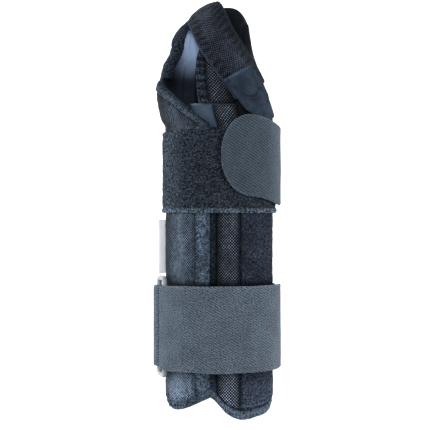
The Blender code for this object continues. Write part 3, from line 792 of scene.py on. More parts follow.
def selvage_tone(length, far=1.0, base=1.0):
    """Tone of a strap: paler selvages, painted light where it turns away at its far end, and a base
    factor for painted light over the whole strap.
    """
    def tone(along, y, near):
        shade = 1.0 + 0.22 * fade(0.2, 1.6, near)
        shade = shade + (far - 1.0) * smoothstep(length - 12.0, length, along)
        return base * shade * (1.0 + 0.05 * folds(along / 7.0, y / 9.0, 3))
    return tone


def strap_edge(x, seed):
    """Slight wander of a strap's edge along its run."""
    return 0.35 * noise(x / 16.0, 0.0, seed)


def strap_waves(seed):
    """Slight waves in the face of a strap."""
    return lambda along, y, near: 0.12 * folds(along / 8.0, y / 12.0, seed)


def fold(bar, angle, turn):
    """Arc of a strap's middle line round a bar of the ring, from its side next to the sleeve."""
    run = sleeve(angle + 1.0, STRAP_Y, RING_OFF) - sleeve(angle - 1.0, STRAP_Y, RING_OFF)
    turned = math.atan2(-run[0], run[2]) + np.radians(turn) * np.linspace(0.0, 1.0, FOLD_STEPS + 1)
    facing = np.stack([np.cos(turned), np.zeros(FOLD_STEPS + 1), np.sin(turned)], -1)
    return bar + facing * FOLD_RADIUS


def forearm_band():
    """Elastic band round the forearm."""
    path, normal = sleeve_path(np.arange(-51.0, 260.1, 1.5), BAND_MIDDLE)
    path[:, 2] = np.maximum(path[:, 2], FLOOR_CLEAR)
    strip("forearm_strap_base_web", path, normal, *FOREARM_STRAP, 1.3, ELASTIC, "root",
          ["forearm_strap_base"], "elastic", selvage=0.12, relief=strap_waves(11))


def ring_tab(bar):
    """Sewn elastic loop round the ring's lower bar."""
    start = sleeve(RING_TAB_END[0], STRAP_Y, BAND_MIDDLE)
    end = sleeve(RING_TAB_END[1], STRAP_Y, RING_OFF)
    path = smooth_path(np.concatenate([[start], fold(bar, RING_LOW_ANGLE, 180.0), [end]]))
    path, normal = with_normals(path, path - bar)
    # Base 1.28 paints light on the ring tab, on the radial side that faces the left lamp.
    strip("ring_tab_web", path, normal, FOREARM_STRAP[0] + 0.4, FOREARM_STRAP[1] - 0.4, FOLD_THICK,
          ELASTIC, "root", ["forearm_ring_tab"], "elastic", selvage=0.1,
          tone=selvage_tone(30.0, base=1.28))


def make_ring(low, high):
    """Rectangular plastic ring, round in section, with rounded corners."""
    along, across = np.array([0.0, 1.0, 0.0]), unit(high - low)
    half_width = np.linalg.norm(high - low) / 2.0 - RING_CORNER
    half_length = RING_LENGTH / 2.0 + RING_SECTION - RING_CORNER
    path = []
    for corner, (side, end) in enumerate(((1.0, 1.0), (-1.0, 1.0), (-1.0, -1.0), (1.0, -1.0))):
        for angle in np.radians(90.0 * corner + np.linspace(0.0, 90.0, 9)):
            shift = across * (side * half_width + RING_CORNER * np.cos(angle))
            shift = shift + along * (end * half_length + RING_CORNER * np.sin(angle))
            path.append((high + low) / 2.0 + shift)
    tube("ring_frame", path, RING_SECTION, RING_PLASTIC, "ring", 20, True, ["forearm_ring"],
         up=np.cross(along, across))


def forearm_tail(bar):
    """Free end of the forearm strap, folded back through the ring, and its hook tape."""
    low, high = FOREARM_STRAP
    angles = np.arange(-50.0, FOREARM_TAIL_END + 0.1, 2.0)
    lift = TAIL_MIDDLE + lap(angles) + RING_CLEAR * fade(-50.0, -34.0, angles)
    turn = fold(bar, RING_HIGH_ANGLE, -170.0)
    path = smooth_path(np.concatenate([turn, sleeve(angles, STRAP_Y, lift)]))
    near = np.linalg.norm(path - bar, axis=1) < FOLD_RADIUS + 0.4
    path, normal = with_normals(path, np.where(near[:, None], path - bar, path - SLEEVE_MIDDLE))
    # Far factor 1.12 paints light on the tail's ulnar end, where it turns away down the side.
    strip("forearm_strap_tail_web", path, normal, low + strap_edge(path[:, 0], 5),
          high + strap_edge(path[:, 0], 9) + 0.4, FOLD_THICK, ELASTIC, "forearm_tail",
          ["forearm_strap_tail"], "elastic", selvage=0.14, relief=strap_waves(4),
          tone=selvage_tone(PATH_STEP * len(path), 1.12))
    path, normal = sleeve_path(np.arange(56.0, 84.1, 1.5), HOOK_MIDDLE)
    strip("forearm_hook_tape", path, normal, low + 3.0, high - 3.0, HOOK_THICK, HOOK_TAPE,
          "forearm_tail", ["forearm_hook_tab"], "hook")


def forearm_strap():
    """Elastic strap round the forearm, the sewn ring tab, the ring and the folded-back tail."""
    low_bar = sleeve(RING_LOW_ANGLE, STRAP_Y, RING_OFF)
    high_bar = sleeve(RING_HIGH_ANGLE, STRAP_Y, RING_OFF)
    forearm_band()
    ring_tab(low_bar)
    make_ring(low_bar, high_bar)
    forearm_tail(high_bar)


# Wrist strap -------------------------------------------------------------------------------

def cuff_relief(along, y, near):
    """Tangled loops on the cuff, with a smooth rolled edge towards the elbow."""
    curls = 0.28 * folds(along / 1.3, y / 1.3, 31) + 0.22 * noise(along / 9.0, y / 11.0, 32)
    roll = fade(CUFF_SEAM_Y - 0.5, CUFF_SEAM_Y + 0.3, y)
    return curls * (1.0 - 0.6 * roll) + 0.5 * roll - 0.35 * ridge(y, CUFF_SEAM_Y, 0.5)


def cuff_tone(along, y, near):
    """Paler rolled edge, and painted light on the radial side of the cuff, which faces the left
    lamp.
    """
    roll = fade(CUFF_SEAM_Y - 0.7, CUFF_SEAM_Y + 0.3, y)
    return 0.56 + 1.15 * roll + 0.56 * fade(14.0, 34.0, along)


def tail_tone(along, y, near):
    """Pale cut edge round the tip of the wrist tail."""
    tip = fade(0.5, 1.2, near) * fade(24.0, 40.0, along)
    return 0.84 + 0.6 * tip + 0.38 * smoothstep(24.0, 50.0, along)


def tail_limits(angle, tip, half):
    """Lower and upper limit of a strap in y, where it ends in an elliptic curve at an angle."""
    middle = TAIL_TIP_Y + (TAIL_ROOT_Y - TAIL_TIP_Y) * smoothstep(*TAIL_BEND, angle)
    part = np.clip((angle - tip) / TAIL_ROUND, 0.0, 1.0)
    reach = half * np.maximum(0.0, 1.0 - (1.0 - part) ** 2.4) ** 0.47 + 0.4
    return middle - reach, middle + reach


def wrist_cuff():
    """Loop-pile cuff over the wrist."""
    path, normal = sleeve_path(np.arange(-92.0, 83.1, 1.2), BAND_MIDDLE)
    strip("wrist_cuff_pile", path, normal, *WRIST_CUFF, 1.5, PILE, "root", ["wrist_cuff"],
          "loop_pile", step=0.8, edge=0.9, relief=cuff_relief, tone=cuff_tone)


def wrist_tail():
    """Elastic band behind the wrist, and the round tail that it ends in, which lies on the cuff."""
    round_end = TAIL_TIP + TAIL_ROUND * np.linspace(0.0, 1.0, 44) ** 2
    angles = np.concatenate([round_end, np.arange(TAIL_TIP + TAIL_ROUND + 1.5, 267.1, 1.5)])
    drop = (TAIL[0] - BAND[0]) * smoothstep(90.0, 112.0, angles)
    path, normal = on_sleeve(angles, STRAP_Y, TAIL_MIDDLE + lap(angles) - drop)
    path[:, 2] = np.maximum(path[:, 2], FLOOR_CLEAR)
    path, normal = with_normals(path, normal)
    band = smoothstep(80.0, 92.0, angles)
    low, high = (limit * (1.0 - band) + place * band
                 for limit, place in zip(tail_limits(angles, TAIL_TIP, TAIL_HALF), WRIST_BAND))
    tail = strip("wrist_strap_web", path, normal, low, high, 1.4, TAIL_ELASTIC, None,
                 ["wrist_strap_tail", "wrist_band"], "elastic", selvage=0.1,
                 relief=strap_waves(21), tone=tail_tone)
    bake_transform(tail)


def wrist_hook():
    """Hook tape under the round end of the wrist tail."""
    tip = TAIL_TIP + 4.0
    angles = tip + 33.0 * np.linspace(0.0, 1.0, 30) ** 2
    path, normal = sleeve_path(angles, HOOK_MIDDLE)
    strip("wrist_hook_tape", path, normal, *tail_limits(angles, tip, TAIL_HALF - 3.0), HOOK_THICK,
          HOOK_TAPE, "wrist_tail", ["wrist_hook_tab"], "hook")


# Reliefs and tones of the sleeve's panels --------------------------------------------------

def puffed(size, seed, depth, pucker=0.0):
    """Relief of a padded panel: a full middle, an uneven lie, and puckers at its edges."""
    def relief(angle, y, sides):
        side, end = np.minimum(*sides[:2]), np.minimum(*sides[2:])
        near = np.minimum(side, end)
        along = angle * DEGREE_RUN
        full = 0.35 * smoothstep(0.0, size, near)
        lie = depth * folds(along / 7.0, y / 8.0, seed)
        edge = ridge(side, 0.0, 2.6) * waves(y, PUCKER_PITCH, noise(y / 6.0, side, seed))
        rim = ridge(end, 0.0, 2.6) * waves(along, PUCKER_PITCH, seed)
        return full + lie + pucker * (edge + rim) * smoothstep(0.1, 0.9, near)
    return relief


def fuzzy(seed):
    """Relief of a brushed or looped face."""
    def relief(angle, y, sides):
        along = angle * DEGREE_RUN
        return 0.22 * folds(along / 1.3, y / 1.3, seed) + 0.15 * noise(along / 6.0, y / 6.0, seed)
    return relief


def rolled(seed, amount, pitch=PUCKER_PITCH, across=True):
    """Relief of a rolled hem: a fuzzy face with regular puckers from its stitches."""
    def relief(angle, y, sides):
        along = angle * DEGREE_RUN
        run = along if across else y
        wave = waves(run, pitch, 1.2 * noise(run / 9.0, 0.0, seed))
        return amount * wave + 0.2 * folds(along / 1.4, y / 1.4, seed)
    return relief


def edge_shade(dark, width):
    """Painted shade that falls to dark in the seams at a panel's edges."""
    def tone(angle, y, sides):
        shade = dark + (1.0 - dark) * smoothstep(0.0, width, np.minimum.reduce(sides))
        return shade * (1.0 + 0.1 * folds(angle * DEGREE_RUN / 9.0, y / 12.0, 8))
    return tone


def strap_painted_shadow(y):
    """Painted shadow just beyond the forearm strap's upper edge, where the strap stands off."""
    return 1.0 - 0.93 * ridge(y, FOREARM_STRAP[1] + 0.2, 3.0)


def painted_hem_groove(sides):
    """Painted shade where a panel goes into the groove above its bottom hem, and a painted
    highlight on the edge over that.
    """
    groove = 0.15 + 0.85 * smoothstep(1.0, 1.9, sides[2])
    return groove * (1.0 + 0.5 * ridge(sides[2], 2.6, 0.6))


def palm_relief(angle, y, sides):
    """Channels sewn beside the stay, and a soft lie between them."""
    x = sleeve(angle, y, 2.0)[..., 0] - STAY_X
    flat = smoothstep(150.0, 165.0, angle) * fade(195.0, 210.0, angle)
    groove = ridge(np.abs(x), 11.5, 0.7) * flat * fade(80.0, 84.0, y)
    return puffed(5.0, 12, 0.18, 0.15)(angle, y, sides) - 0.7 * groove


def lining_back(angle, y, sides):
    """Uneven lie of the lining's face."""
    return 0.12 * folds(angle * DEGREE_RUN / 6.0, y / 9.0, 14)


def lining_tone(angle, y, sides):
    """Painted light on the lining at the thumb side of the palm, painted shade elsewhere in the
    sleeve, and darker along a seam.
    """
    seam = ridge((angle - 214.0) * DEGREE_RUN, 0.06 * (y - 90.0), 0.7)
    lit = smoothstep(78.0, 98.0, y) * smoothstep(184.0, 196.0, angle)
    return (0.07 + 2.2 * lit ** 1.4) * (1.0 - 0.4 * seam)


def front_fleece_tone(angle, y, sides):
    """Fluffy front of the radial flap, paler along its middle, with painted shadow beyond the
    forearm strap.
    """
    middle = ridge(sides[0], 4.0, 2.6)
    return (0.75 + 0.55 * middle + 0.3 * folds(y / 5.0, angle / 6.0, 91)) * strap_painted_shadow(y)


def flap_tone(angle, y, sides):
    """Painted shade on the radial side, where the flap turns down, and painted light on its crown;
    darker above the wrist cuff, paler at the elbow end, with uneven tone and painted shadow beyond
    the forearm strap.
    """
    crown = 0.42 + 0.95 * smoothstep(-70.0, -52.0, angle)
    crown = crown + 1.25 * fade(-104.0, -92.0, y) * smoothstep(-84.0, -60.0, angle)
    ends = 1.0 - 0.4 * smoothstep(44.0, 50.0, y) + 0.15 * fade(*ELBOW_END_Y, y)
    return (1.0 + 0.16 * folds(angle / 9.0, y / 11.0, 8)) * crown * ends * strap_painted_shadow(y)


def lobe_hem_tone(angle, y, sides):
    """Pale hem of the radial flap, paler towards the radial side, with painted shade in the sunk
    seam above its edge.
    """
    seam = ridge(sides[2], 2.8, 0.45) * fade(-40.0, -34.0, angle)
    return (1.7 - 0.6 * smoothstep(-44.0, -30.0, angle)) * (1.0 - 0.75 * seam)


def sleeve_painted_shade(angle, y, sides):
    """Painted shade on a lining that is hidden inside the sleeve, lifting towards the thumb hole.
    """
    return 0.35 + 0.65 * smoothstep(60.0, 80.0, y)


def thumb_tone(angle, y, sides):
    """Rolled pile with painted shade where it turns into the hole, and darker at the front edge."""
    return 0.35 + 0.65 * smoothstep(0.4, 3.4, sides[3]) - 0.25 * smoothstep(-24.0, -10.0, angle)


def front_tone(angle, y, sides):
    """Painted shadow of the flap that covers it, lifted towards the elbow end, and painted shadow
    beyond the forearm strap.
    """
    return (0.55 + 1.6 * fade(*ELBOW_END_Y, y)) * strap_painted_shadow(y)


def strip_tone(angle, y, sides):
    """The ventilated strip: paler at the elbow end, darker at its side seams, with painted shade in
    the hem groove and painted shadow beyond the forearm strap.
    """
    seams = 0.25 + 0.8 * smoothstep(0.0, 4.0, np.minimum(*sides[:2]))
    pale = (1.12 + 1.3 * fade(*ELBOW_END_LONG_Y, y)) * painted_hem_groove(sides)
    return seams * pale * strap_painted_shadow(y) * (1.0 + 0.2 * folds(angle / 8.0, y / 9.0, 92))


def pile_tone(angle, y, sides):
    """Loop pile of the ulnar side, paler at the elbow end, with painted shade at its seams and in
    the hem groove, and painted shadow beyond the forearm strap.
    """
    pale = 0.85 + 0.8 * fade(*ELBOW_END_LONG_Y, y)
    return edge_shade(0.7, 1.5)(angle, y, sides) * pale * strap_painted_shadow(y) * painted_hem_groove(sides)


def hem_tone(angle, y, sides):
    """Pale roll of the ulnar hem, with painted shade in the groove above it."""
    return 1.45 - 1.2 * fade(0.5, 1.3, sides[3])


def gap_tone(angle, y, sides):
    """Painted shade on the lining where the flaps cover it, lighter where it shows between them,
    and a painted highlight along its top edge.
    """
    shown = smoothstep(-26.0, -21.0, angle)
    edge = smoothstep(60.9, 61.4, y) * fade(-14.0, -8.0, angle)
    return 0.2 + 0.75 * shown * smoothstep(40.0, 50.0, y) + 1.6 * shown * edge


def tongue_mesh_tone(angle, y, sides):
    """Open mesh of the tongue, darker towards the ulnar side, with painted shade at its seams."""
    return (0.85 - 0.5 * smoothstep(4.0, 16.0, angle)) * edge_shade(0.4, 2.4)(angle, y, sides)


def tongue_wave(y):
    """Waves of the tongue's hem, which its stitches gather."""
    return waves(y, 4.5, 0.8 * noise(y / 7.0, 0.0, 5))


def tongue_tone(angle, y, sides):
    """Painted shade between the puckers of the tongue's hem and painted light on their crests,
    paler along its radial edge.
    """
    return 0.75 + 0.5 * tongue_wave(y) + 0.3 * fade(0.6, 1.8, sides[0])


def tongue_puckers(angle, y, sides):
    """Deep puckers of the tongue's hem."""
    bulge = smoothstep(0.6, 2.5, sides[1]) * fade(4.6, 6.0, sides[1])
    return 0.95 * tongue_wave(y) * bulge + 0.2 * folds(angle * DEGREE_RUN / 1.5, y / 1.5, 53)


# Sleeve ------------------------------------------------------------------------------------

def bound(values, span):
    """Function that gives an edge of a panel, moved by a shift."""
    return lambda shift: edge_line(values, *span, shift)


radial_low, radial_high = (bound(values, RADIAL_SPAN) for values in (RADIAL_BOTTOM, RADIAL_TOP))
ulnar_low = bound(ULNAR_BOTTOM, (ULNAR_EDGE, ULNAR_SEAM))
palm_low, palm_high = (bound(values, PALM_SPAN) for values in (PALM_BOTTOM, PALM_TOP))
side_high = bound(SIDE_TOP, SIDE_SPAN)


def palmar_side():
    """Palmar shell with its lining, forearm hem and rim binding."""
    body = (palm_low(HEM_INNER), palm_high(0.5 - RIM_HEM))
    panel("palmar_padding", PALM_SPAN, *body, SHELL, FINE_MESH, relief=palm_relief, step=1.4,
          nodes=["palmar_shell"], slot="fine_mesh", tone=edge_shade(0.6, 1.6))
    panel("palmar_lining_cloth", PALM_SPAN, *body, LINING, LINING_FABRIC, step=1.6,
          radii=THIN_EDGES, nodes=["palmar_lining"], slot="lining", tone=lining_tone,
          back=lining_back)
    panel("palmar_hem_roll", PALM_SPAN, palm_low(0.0), palm_low(BOTTOM_HEM), EDGING, HEM,
          relief=rolled(41, 0.2), radii=(0.8, 0.8, 2.2, 1.2), step=0.9,
          nodes=["palmar_bottom_hem"], slot="binding")
    panel("palm_rim_tape", PALM_SPAN, palm_high(-RIM_HEM), palm_high(0.0), EDGING, DARK_PILE,
          relief=fuzzy(42), radii=(0.8, 0.8, 1.2, 1.6), step=0.9, nodes=["palm_rim_binding"],
          slot="loop_pile")


def radial_flap():
    """Radial flap that laps over the ulnar one, with its lining, hems and thumb binding."""
    body = (radial_low(HEM_INNER), radial_high(0.8 - TOP_HEM))
    seam = RADIAL_SEAM + SEAM
    panel("radial_flap_padding", (seam, RADIAL_HEM + 0.5), *body, SHELL, FINE_MESH, flap_lap,
          puffed(5.0, 22, 0.3, 0.22), radii=(1.2, 0.6, 1.2, 1.2), nodes=["radial_flap"],
          slot="fine_mesh", tone=flap_tone)
    panel("radial_lining_cloth", (seam, LAP_START[0] - 1.0), *body, LINING, LINING_FABRIC,
          step=1.8, radii=THIN_EDGES, nodes=["radial_lining"], slot="lining", tone=sleeve_painted_shade)
    panel("radial_front_fleece", (RADIAL_HEM, RADIAL_EDGE), *body, SHELL, HEM, flap_lap,
          rolled(23, 0.22, 5.2, False), radii=(0.5, 1.9, 1.2, 1.2), step=0.7,
          nodes=["radial_front_hem"], slot="binding", tone=front_fleece_tone)
    panel("radial_hem_roll", (seam, RADIAL_EDGE), radial_low(0.0), radial_low(BOTTOM_HEM), SHELL,
          BINDING, flap_lap, rolled(24, 0.22), radii=(0.8, 1.6, 2.2, 0.9), step=0.8,
          nodes=["radial_bottom_hem"], slot="binding", tone=lobe_hem_tone)
    panel("thumb_hole_roll", (seam, RADIAL_EDGE), radial_high(-TOP_HEM), radial_high(0.0),
          (0.6, 4.6), BINDING, flap_lap, rolled(25, 0.25, 5.0), radii=(1.0, 1.6, 2.4, 3.2),
          step=0.8, nodes=["thumb_hole_binding"], slot="loop_pile", tone=thumb_tone)


def ulnar_flap():
    """Ulnar flap: front hem, ventilated strip, loop-pile panel, bottom hem and lining."""
    whole = (ULNAR_EDGE, ULNAR_SEAM - SEAM)
    low = ulnar_low(HEM_INNER)
    panel("ulnar_front_fleece", (ULNAR_EDGE, MESH_START - SEAM), low, level(48.0), SHELL,
          DARK_PILE, relief=fuzzy(31), radii=(1.2, 1.6, 1.2, 1.2), step=0.9,
          nodes=["ulnar_front_hem"], slot="binding", tone=front_tone)
    panel("ulnar_mesh_strip", (MESH_START, MESH_END - SEAM), low, level(61.0), SHELL, OPEN_MESH,
          relief=puffed(4.0, 32, 0.15), nodes=["ulnar_mesh_panel"], slot="open_mesh",
          tone=strip_tone)
    panel("ulnar_pile", SIDE_SPAN, low, level(50.0), SHELL, DARK_PILE, relief=fuzzy(33), step=0.9,
          nodes=["ulnar_pile_panel"], slot="loop_pile", tone=pile_tone)
    panel("ulnar_hem_roll", whole, ulnar_low(0.0), ulnar_low(BOTTOM_HEM), SHELL, HEM,
          relief=rolled(34, 0.2), radii=(1.6, 0.8, 2.2, 1.2), step=0.8,
          nodes=["ulnar_bottom_hem"], slot="binding", tone=hem_tone)
    panel("dorsal_lining_cloth", whole, low, level(61.9), (0.0, 1.3), SLEEK, step=1.2,
          radii=(0.4, 0.4, 0.4, 0.8), nodes=["dorsal_lining"], slot="lining", tone=gap_tone)


def hand_part():
    """Dorsal tongue with its puckered hem, side panel and lining of the hand."""
    low, top = level(TONGUE_BOTTOM), edge_line(TONGUE_TOP, TONGUE_EDGE, MESH_END)
    panel("tongue_mesh", (TONGUE_HEM + SEAM, MESH_END - SEAM), low, top, SHELL, OPEN_MESH,
          relief=puffed(4.0, 51, 0.2), nodes=["dorsal_tongue"], slot="open_mesh",
          tone=tongue_mesh_tone)
    panel("tongue_roll", (TONGUE_EDGE, TONGUE_HEM), low, top, EDGING, DARK_PILE,
          relief=tongue_puckers, tone=tongue_tone, radii=(2.0, 1.2, 1.0, 1.0), step=0.7,
          nodes=["tongue_hem"], slot="binding")
    panel("ulnar_side_knit", SIDE_SPAN, level(50.4), side_high(0.0), SHELL, SIDE_FABRIC,
          relief=puffed(5.0, 52, 0.2, 0.1), nodes=["ulnar_side_panel"], slot="side_fabric",
          tone=edge_shade(0.7, 1.5))
    span = (TONGUE_EDGE, ULNAR_SEAM - SEAM)
    panel("hand_lining_cloth", span, low, edge_line(HAND_LINING_TOP, *span), LINING, SLEEK,
          step=1.8, radii=THIN_EDGES, nodes=["hand_lining"], slot="lining")


def palm_rim():
    """Pile roll at the thumb side of the palm, and a smooth dark roll round the finger end."""
    side = sleeve(270.0, np.linspace(79.0, 101.0, 16), -1.0)
    angle = np.linspace(266.0, 192.0, 36)
    rim = sleeve(angle, palm_high(-1.6)(angle), -0.6)
    path = smooth_path(np.concatenate([side[::3], rim[::3]]), 1.0)
    share = np.linspace(0.0, 1.0, len(path))
    radius = 3.1 - 0.9 * smoothstep(0.5, 0.8, share) + 0.2 * noise(share * 60.0, 0.0, 3)
    tube("palm_rim_roll", path, radius, DARK_PILE, sides=20, up=RIM_UP)
    angle = np.linspace(198.0, 91.0, 40)
    palm = sleeve(angle, palm_high(-1.2)(angle), 1.6)
    angle = np.linspace(87.0, 30.0, 22)
    side = sleeve(angle, side_high(-1.0)(angle), 1.9)
    path = smooth_path(np.concatenate([palm[::3], side[::3]]), 1.0)
    tube("finger_rim_roll", path, 2.1, SIDE_FABRIC, sides=20, up=RIM_UP)
    # Dark knit facing inside the palm's finger end: partly a dark fabric, partly a dark sheet that
    # stands in for the shade inside the palm.
    panel("palm_shade_facing", (91.0, 196.0), level(66.0), palm_high(-1.0), (-1.0, -0.2), SIDE_FABRIC,
          step=1.6, radii=THIN_EDGES)


# Sewing ------------------------------------------------------------------------------------

def no_lap(angle):
    """Height of what lies under the sewing where no flap does."""
    return 0.0


def across_row(low, high, edge, lift=no_lap, off=STITCH_OFF, count=120):
    """A row of sewing round the sleeve beside an edge."""
    angle = np.linspace(low, high, count)
    return on_sleeve(angle, edge(angle), off + lift(angle))


def along_row(angle, low, high, lift=no_lap, off=STITCH_OFF):
    """A row of sewing along the arm at an angle."""
    return on_sleeve(angle, np.linspace(low, high, 160), off + lift(angle))


def sewing():
    """Rows of stitches beside the hems, seams and channels."""
    rows = [across_row(-87.0, -25.5, radial_low(BOTTOM_HEM + 0.8), flap_lap),
            along_row(-25.0, -107.0, 56.0, flap_lap), along_row(-21.2, -108.0, 52.0, flap_lap),
            across_row(-87.0, -12.0, radial_high(-TOP_HEM - 0.9), flap_lap),
            across_row(-86.0, -38.0, radial_low(2.8), flap_lap, STITCH_OFF - 0.15)]
    stitches("flap_stitches", rows, THREAD)
    rows = [across_row(-28.0, 87.0, ulnar_low(BOTTOM_HEM + 0.7)),
            along_row(MESH_START + 2.0, -112.0, 44.0), along_row(19.2, -112.0, 54.0),
            along_row(22.6, -113.0, 49.0)]
    stitches("ulnar_stitches", rows, THREAD)
    across = np.linspace(1.3, 4.9, 12)
    rows = [on_sleeve(angle, ulnar_low(0.0)(angle) + across, STITCH_OFF - 0.05)
            for angle in np.arange(-9.0, 66.0, 7.6)]
    stitches("hem_bar_stitches", rows, PALE_THREAD, length=3.4, gap=0.1, radius=0.3)
    rows = [across_row(94.0, 266.0, palm_low(BOTTOM_HEM + 0.8), count=240),
            across_row(96.0, 264.0, palm_high(-RIM_HEM - 0.9), count=240)]
    rows += [along_row(angle, -99.0, 78.0, off=STITCH_OFF - 0.35) for angle in (164.6, 195.4)]
    stitches("palm_stitches", rows, THREAD)
    rows = [across_row(-88.0, 80.0, level(CUFF_SEAM_Y), lap, BAND_MIDDLE + 0.62, 200)]
    stitches("cuff_stitches", rows, THREAD, length=2.4, gap=0.8)
    stitches("tongue_stitches", [along_row(-3.2, 63.5, 91.0)], THREAD, length=1.8, gap=0.8)


# Web strap and tab -------------------------------------------------------------------------

def dorsal_row(centre, half, off):
    """Left edge, right edge and middle of a strip that lies on the dorsal side."""
    return [dorsal_point(centre[0] + side * half[0], centre[1] + side * half[1], off)
            for side in (-1.0, 1.0, 0.0)]


def ribbon_grid(rows, columns, step):
    """Middle grid of a strip given by the left edge, right edge and middle of each row."""
    rows = np.array(rows, float)
    share = np.linspace(0.0, 1.0, max(6, int(run_along(rows[:, 2])[-1] / step)) + 1)
    edges = curve(rows.reshape(len(rows), 9), share).reshape(-1, 3, 3)
    left, right, centre = edges[:, 0, None], edges[:, 1, None], edges[:, 2, None]
    part = np.linspace(-1.0, 1.0, columns + 1)[None, :, None]
    middle = left + (right - left) * (part + 1.0) / 2.0
    return middle + (centre - (left + right) / 2.0) * (1.0 - part ** 2)


def ribbon(rows, columns, step):
    """Grid of a strip, its normals, and its distances along and from the left and right edge."""
    grid = ribbon_grid(rows, columns, step)
    normal = unit(np.cross(np.gradient(grid, axis=1), np.gradient(grid, axis=0)))
    steps = np.linalg.norm(np.diff(grid, axis=1), axis=-1)
    left = np.concatenate([np.zeros((len(grid), 1)), np.cumsum(steps, axis=1)], axis=1)
    along = np.broadcast_to(run_along(grid[:, grid.shape[1] // 2])[:, None], left.shape)
    return grid, normal, along, left, left[:, -1:] - left


def gather_wave(along, left):
    """Waves of the web strap's gathers."""
    return waves(along, 4.6, 1.9 * noise(along / 8.0, left / 5.0, 61))


def puckers(along, left, right):
    """Crosswise gathers beside both edges of the web strap, flat in the middle."""
    beside = ridge(left, 3.6, 2.6) + 0.8 * ridge(right, 4.6, 3.0)
    lie = folds(along / 6.0, left / 7.0, 62) * smoothstep(0.0, 2.0, np.minimum(left, right))
    return 0.85 * gather_wave(along, left) * beside + 0.35 * lie


def web_tone(along, left, right):
    """Darker smooth bands beside the edges, painted light on the crests of the gathers and painted
    shade between them, with the open mesh paler in the middle.
    """
    middle = smoothstep(3.0, 7.5, left) * smoothstep(5.0, 9.0, right)
    crest = 0.45 * gather_wave(along, left) * (1.0 - middle)
    patch = 0.35 * folds(along / 5.0, left / 5.0, 63)
    return (0.7 + 0.35 * middle + crest + patch * middle) * (1.0 - 0.4 * fade(2.0, 5.5, right))


def web_strap():
    """Gathered web strap with its two binding tapes."""
    rows = [(np.subtract(c, h), np.add(c, h), np.add(c, bulge)) for c, h, bulge in WEB_STATIONS]
    rows += [dorsal_row(centre, half, WEB_OFF) for centre, half in WEB_DORSAL]
    grid, normal, along, left, right = ribbon(rows, 30, 0.6)
    ends = rounding(np.minimum(along, along[-1] - along), 0.8)
    half = 0.65 * np.maximum(0.15, rounding(np.minimum(left, right), 0.8) * ends)
    gather = puckers(along, left, right)
    outer = grid + normal * (half + gather)[..., None]
    inner = grid + normal * (0.4 * gather - half)[..., None]
    closed_shell("web_strap_mesh", outer, inner, np.stack([along, left], -1), WEB_MESH, "root",
                 ["web_strap"], web_tone(along, left, right))
    for name, column, radius, shade in WEB_TAPES:
        path = smooth_path(grid[::6, column] + normal[::6, column] * 0.3, 0.9)
        tube(name, path, radius, BINDING_TAPE, flat=0.8, tone=shade)


def tab_seam(along, left, right):
    """Depth of the D-shaped seam on the tab, from 0 to 1."""
    width = left + right
    across = np.abs(left - right) / width
    reach = 15.0 * np.sqrt(np.maximum(0.0, 1.0 - np.minimum(1.0, across / SEAM_HALF) ** 2.2))
    line = ridge(along - 2.0, reach, 0.55) * fade(0.74, 0.8, across)
    sides = np.abs(across - SEAM_HALF) * width / 2.0
    return np.maximum(line, ridge(sides, 0.0, 0.5) * fade(2.0, 3.5, along))


def suede_tab():
    """Suede tab with its embossed D-shaped seam and its turned lip."""
    grid, normal, along, left, right = ribbon([dorsal_row(*row) for row in TAB_STATIONS], 40, 0.5)
    near = np.minimum.reduce([left, right, along, along[-1] - along])
    half = 0.55 * np.maximum(0.15, rounding(near, 0.5))
    emboss = tab_seam(along, left, right)
    relief = 0.28 * smoothstep(0.6, 3.0, near) + 0.35 * ridge(along, 1.0, 0.9)
    relief = relief - 0.5 * emboss + 0.08 * folds(along / 5.0, left / 5.0, 71)
    outer = grid + normal * (half + relief)[..., None]
    inner = grid - normal * half[..., None]
    # Painted shade in the embossed seam and a painted highlight along the turned lip, with uneven
    # tone.
    tone = 0.9 - 0.7 * emboss + 1.1 * ridge(along, 0.9, 0.8)
    tone = tone * (0.95 + 0.25 * folds(along / 4.0, left / 4.0, 72))
    tab = closed_shell("web_tab_suede", outer, inner, np.stack([along, left], -1), SUEDE, None,
                       ["web_strap_tab", "web_tab_root"], tone)
    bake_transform(tab)


def web_hook():
    """Hook patch under the suede tab."""
    rows = [dorsal_row(c, (h[0] - 1.5, h[1] - 1.0), off - 1.25) for c, h, off in TAB_STATIONS[:2]]
    grid, normal, along, left, right = ribbon(rows, 16, 0.8)
    near = np.minimum.reduce([left, right, along, along[-1] - along])
    half = (0.3 * np.maximum(0.2, rounding(near, 0.3)))[..., None]
    closed_shell("web_hook_tape", grid + normal * half, grid - normal * half,
                 np.stack([along, left], -1), HOOK_TAPE, "web_tab", ["web_hook_patch"])


# Stay, pocket and label --------------------------------------------------------------------

def stay_pocket():
    """Cloth pocket sewn over the stay, open at the palm end."""
    wall = STAY_HALF + POCKET_CLEAR + POCKET_THICK / 2.0
    roof = STAY_Z[1] + 0.5 + POCKET_THICK / 2.0
    foot = STAY_Z[0] - 0.2
    half = [(4.0, roof), (wall - 1.0, roof), (wall, roof - 1.0), (wall, foot)]
    corners = [(-x, z) for x, z in half[::-1]] + half
    corners = np.array([(STAY_X + x, STRAP_Y, z) for x, z in corners])
    share = np.linspace(0.0, 1.0, 7)[:-1, None]
    walls = [start + (end - start) * share for start, end in zip(corners[:-1], corners[1:])]
    path = np.concatenate([*walls, corners[-1:]])
    path, normal = with_normals(path, path - np.array([STAY_X, STRAP_Y, STAY_Z[0] - 6.0]))
    strip("stay_pocket_cloth", path, normal, STAY_Y[0] - 2.0, POCKET_TOP_Y, POCKET_THICK,
          SLEEK, "root", ["stay_pocket"], "lining", step=1.6, edge=0.4)


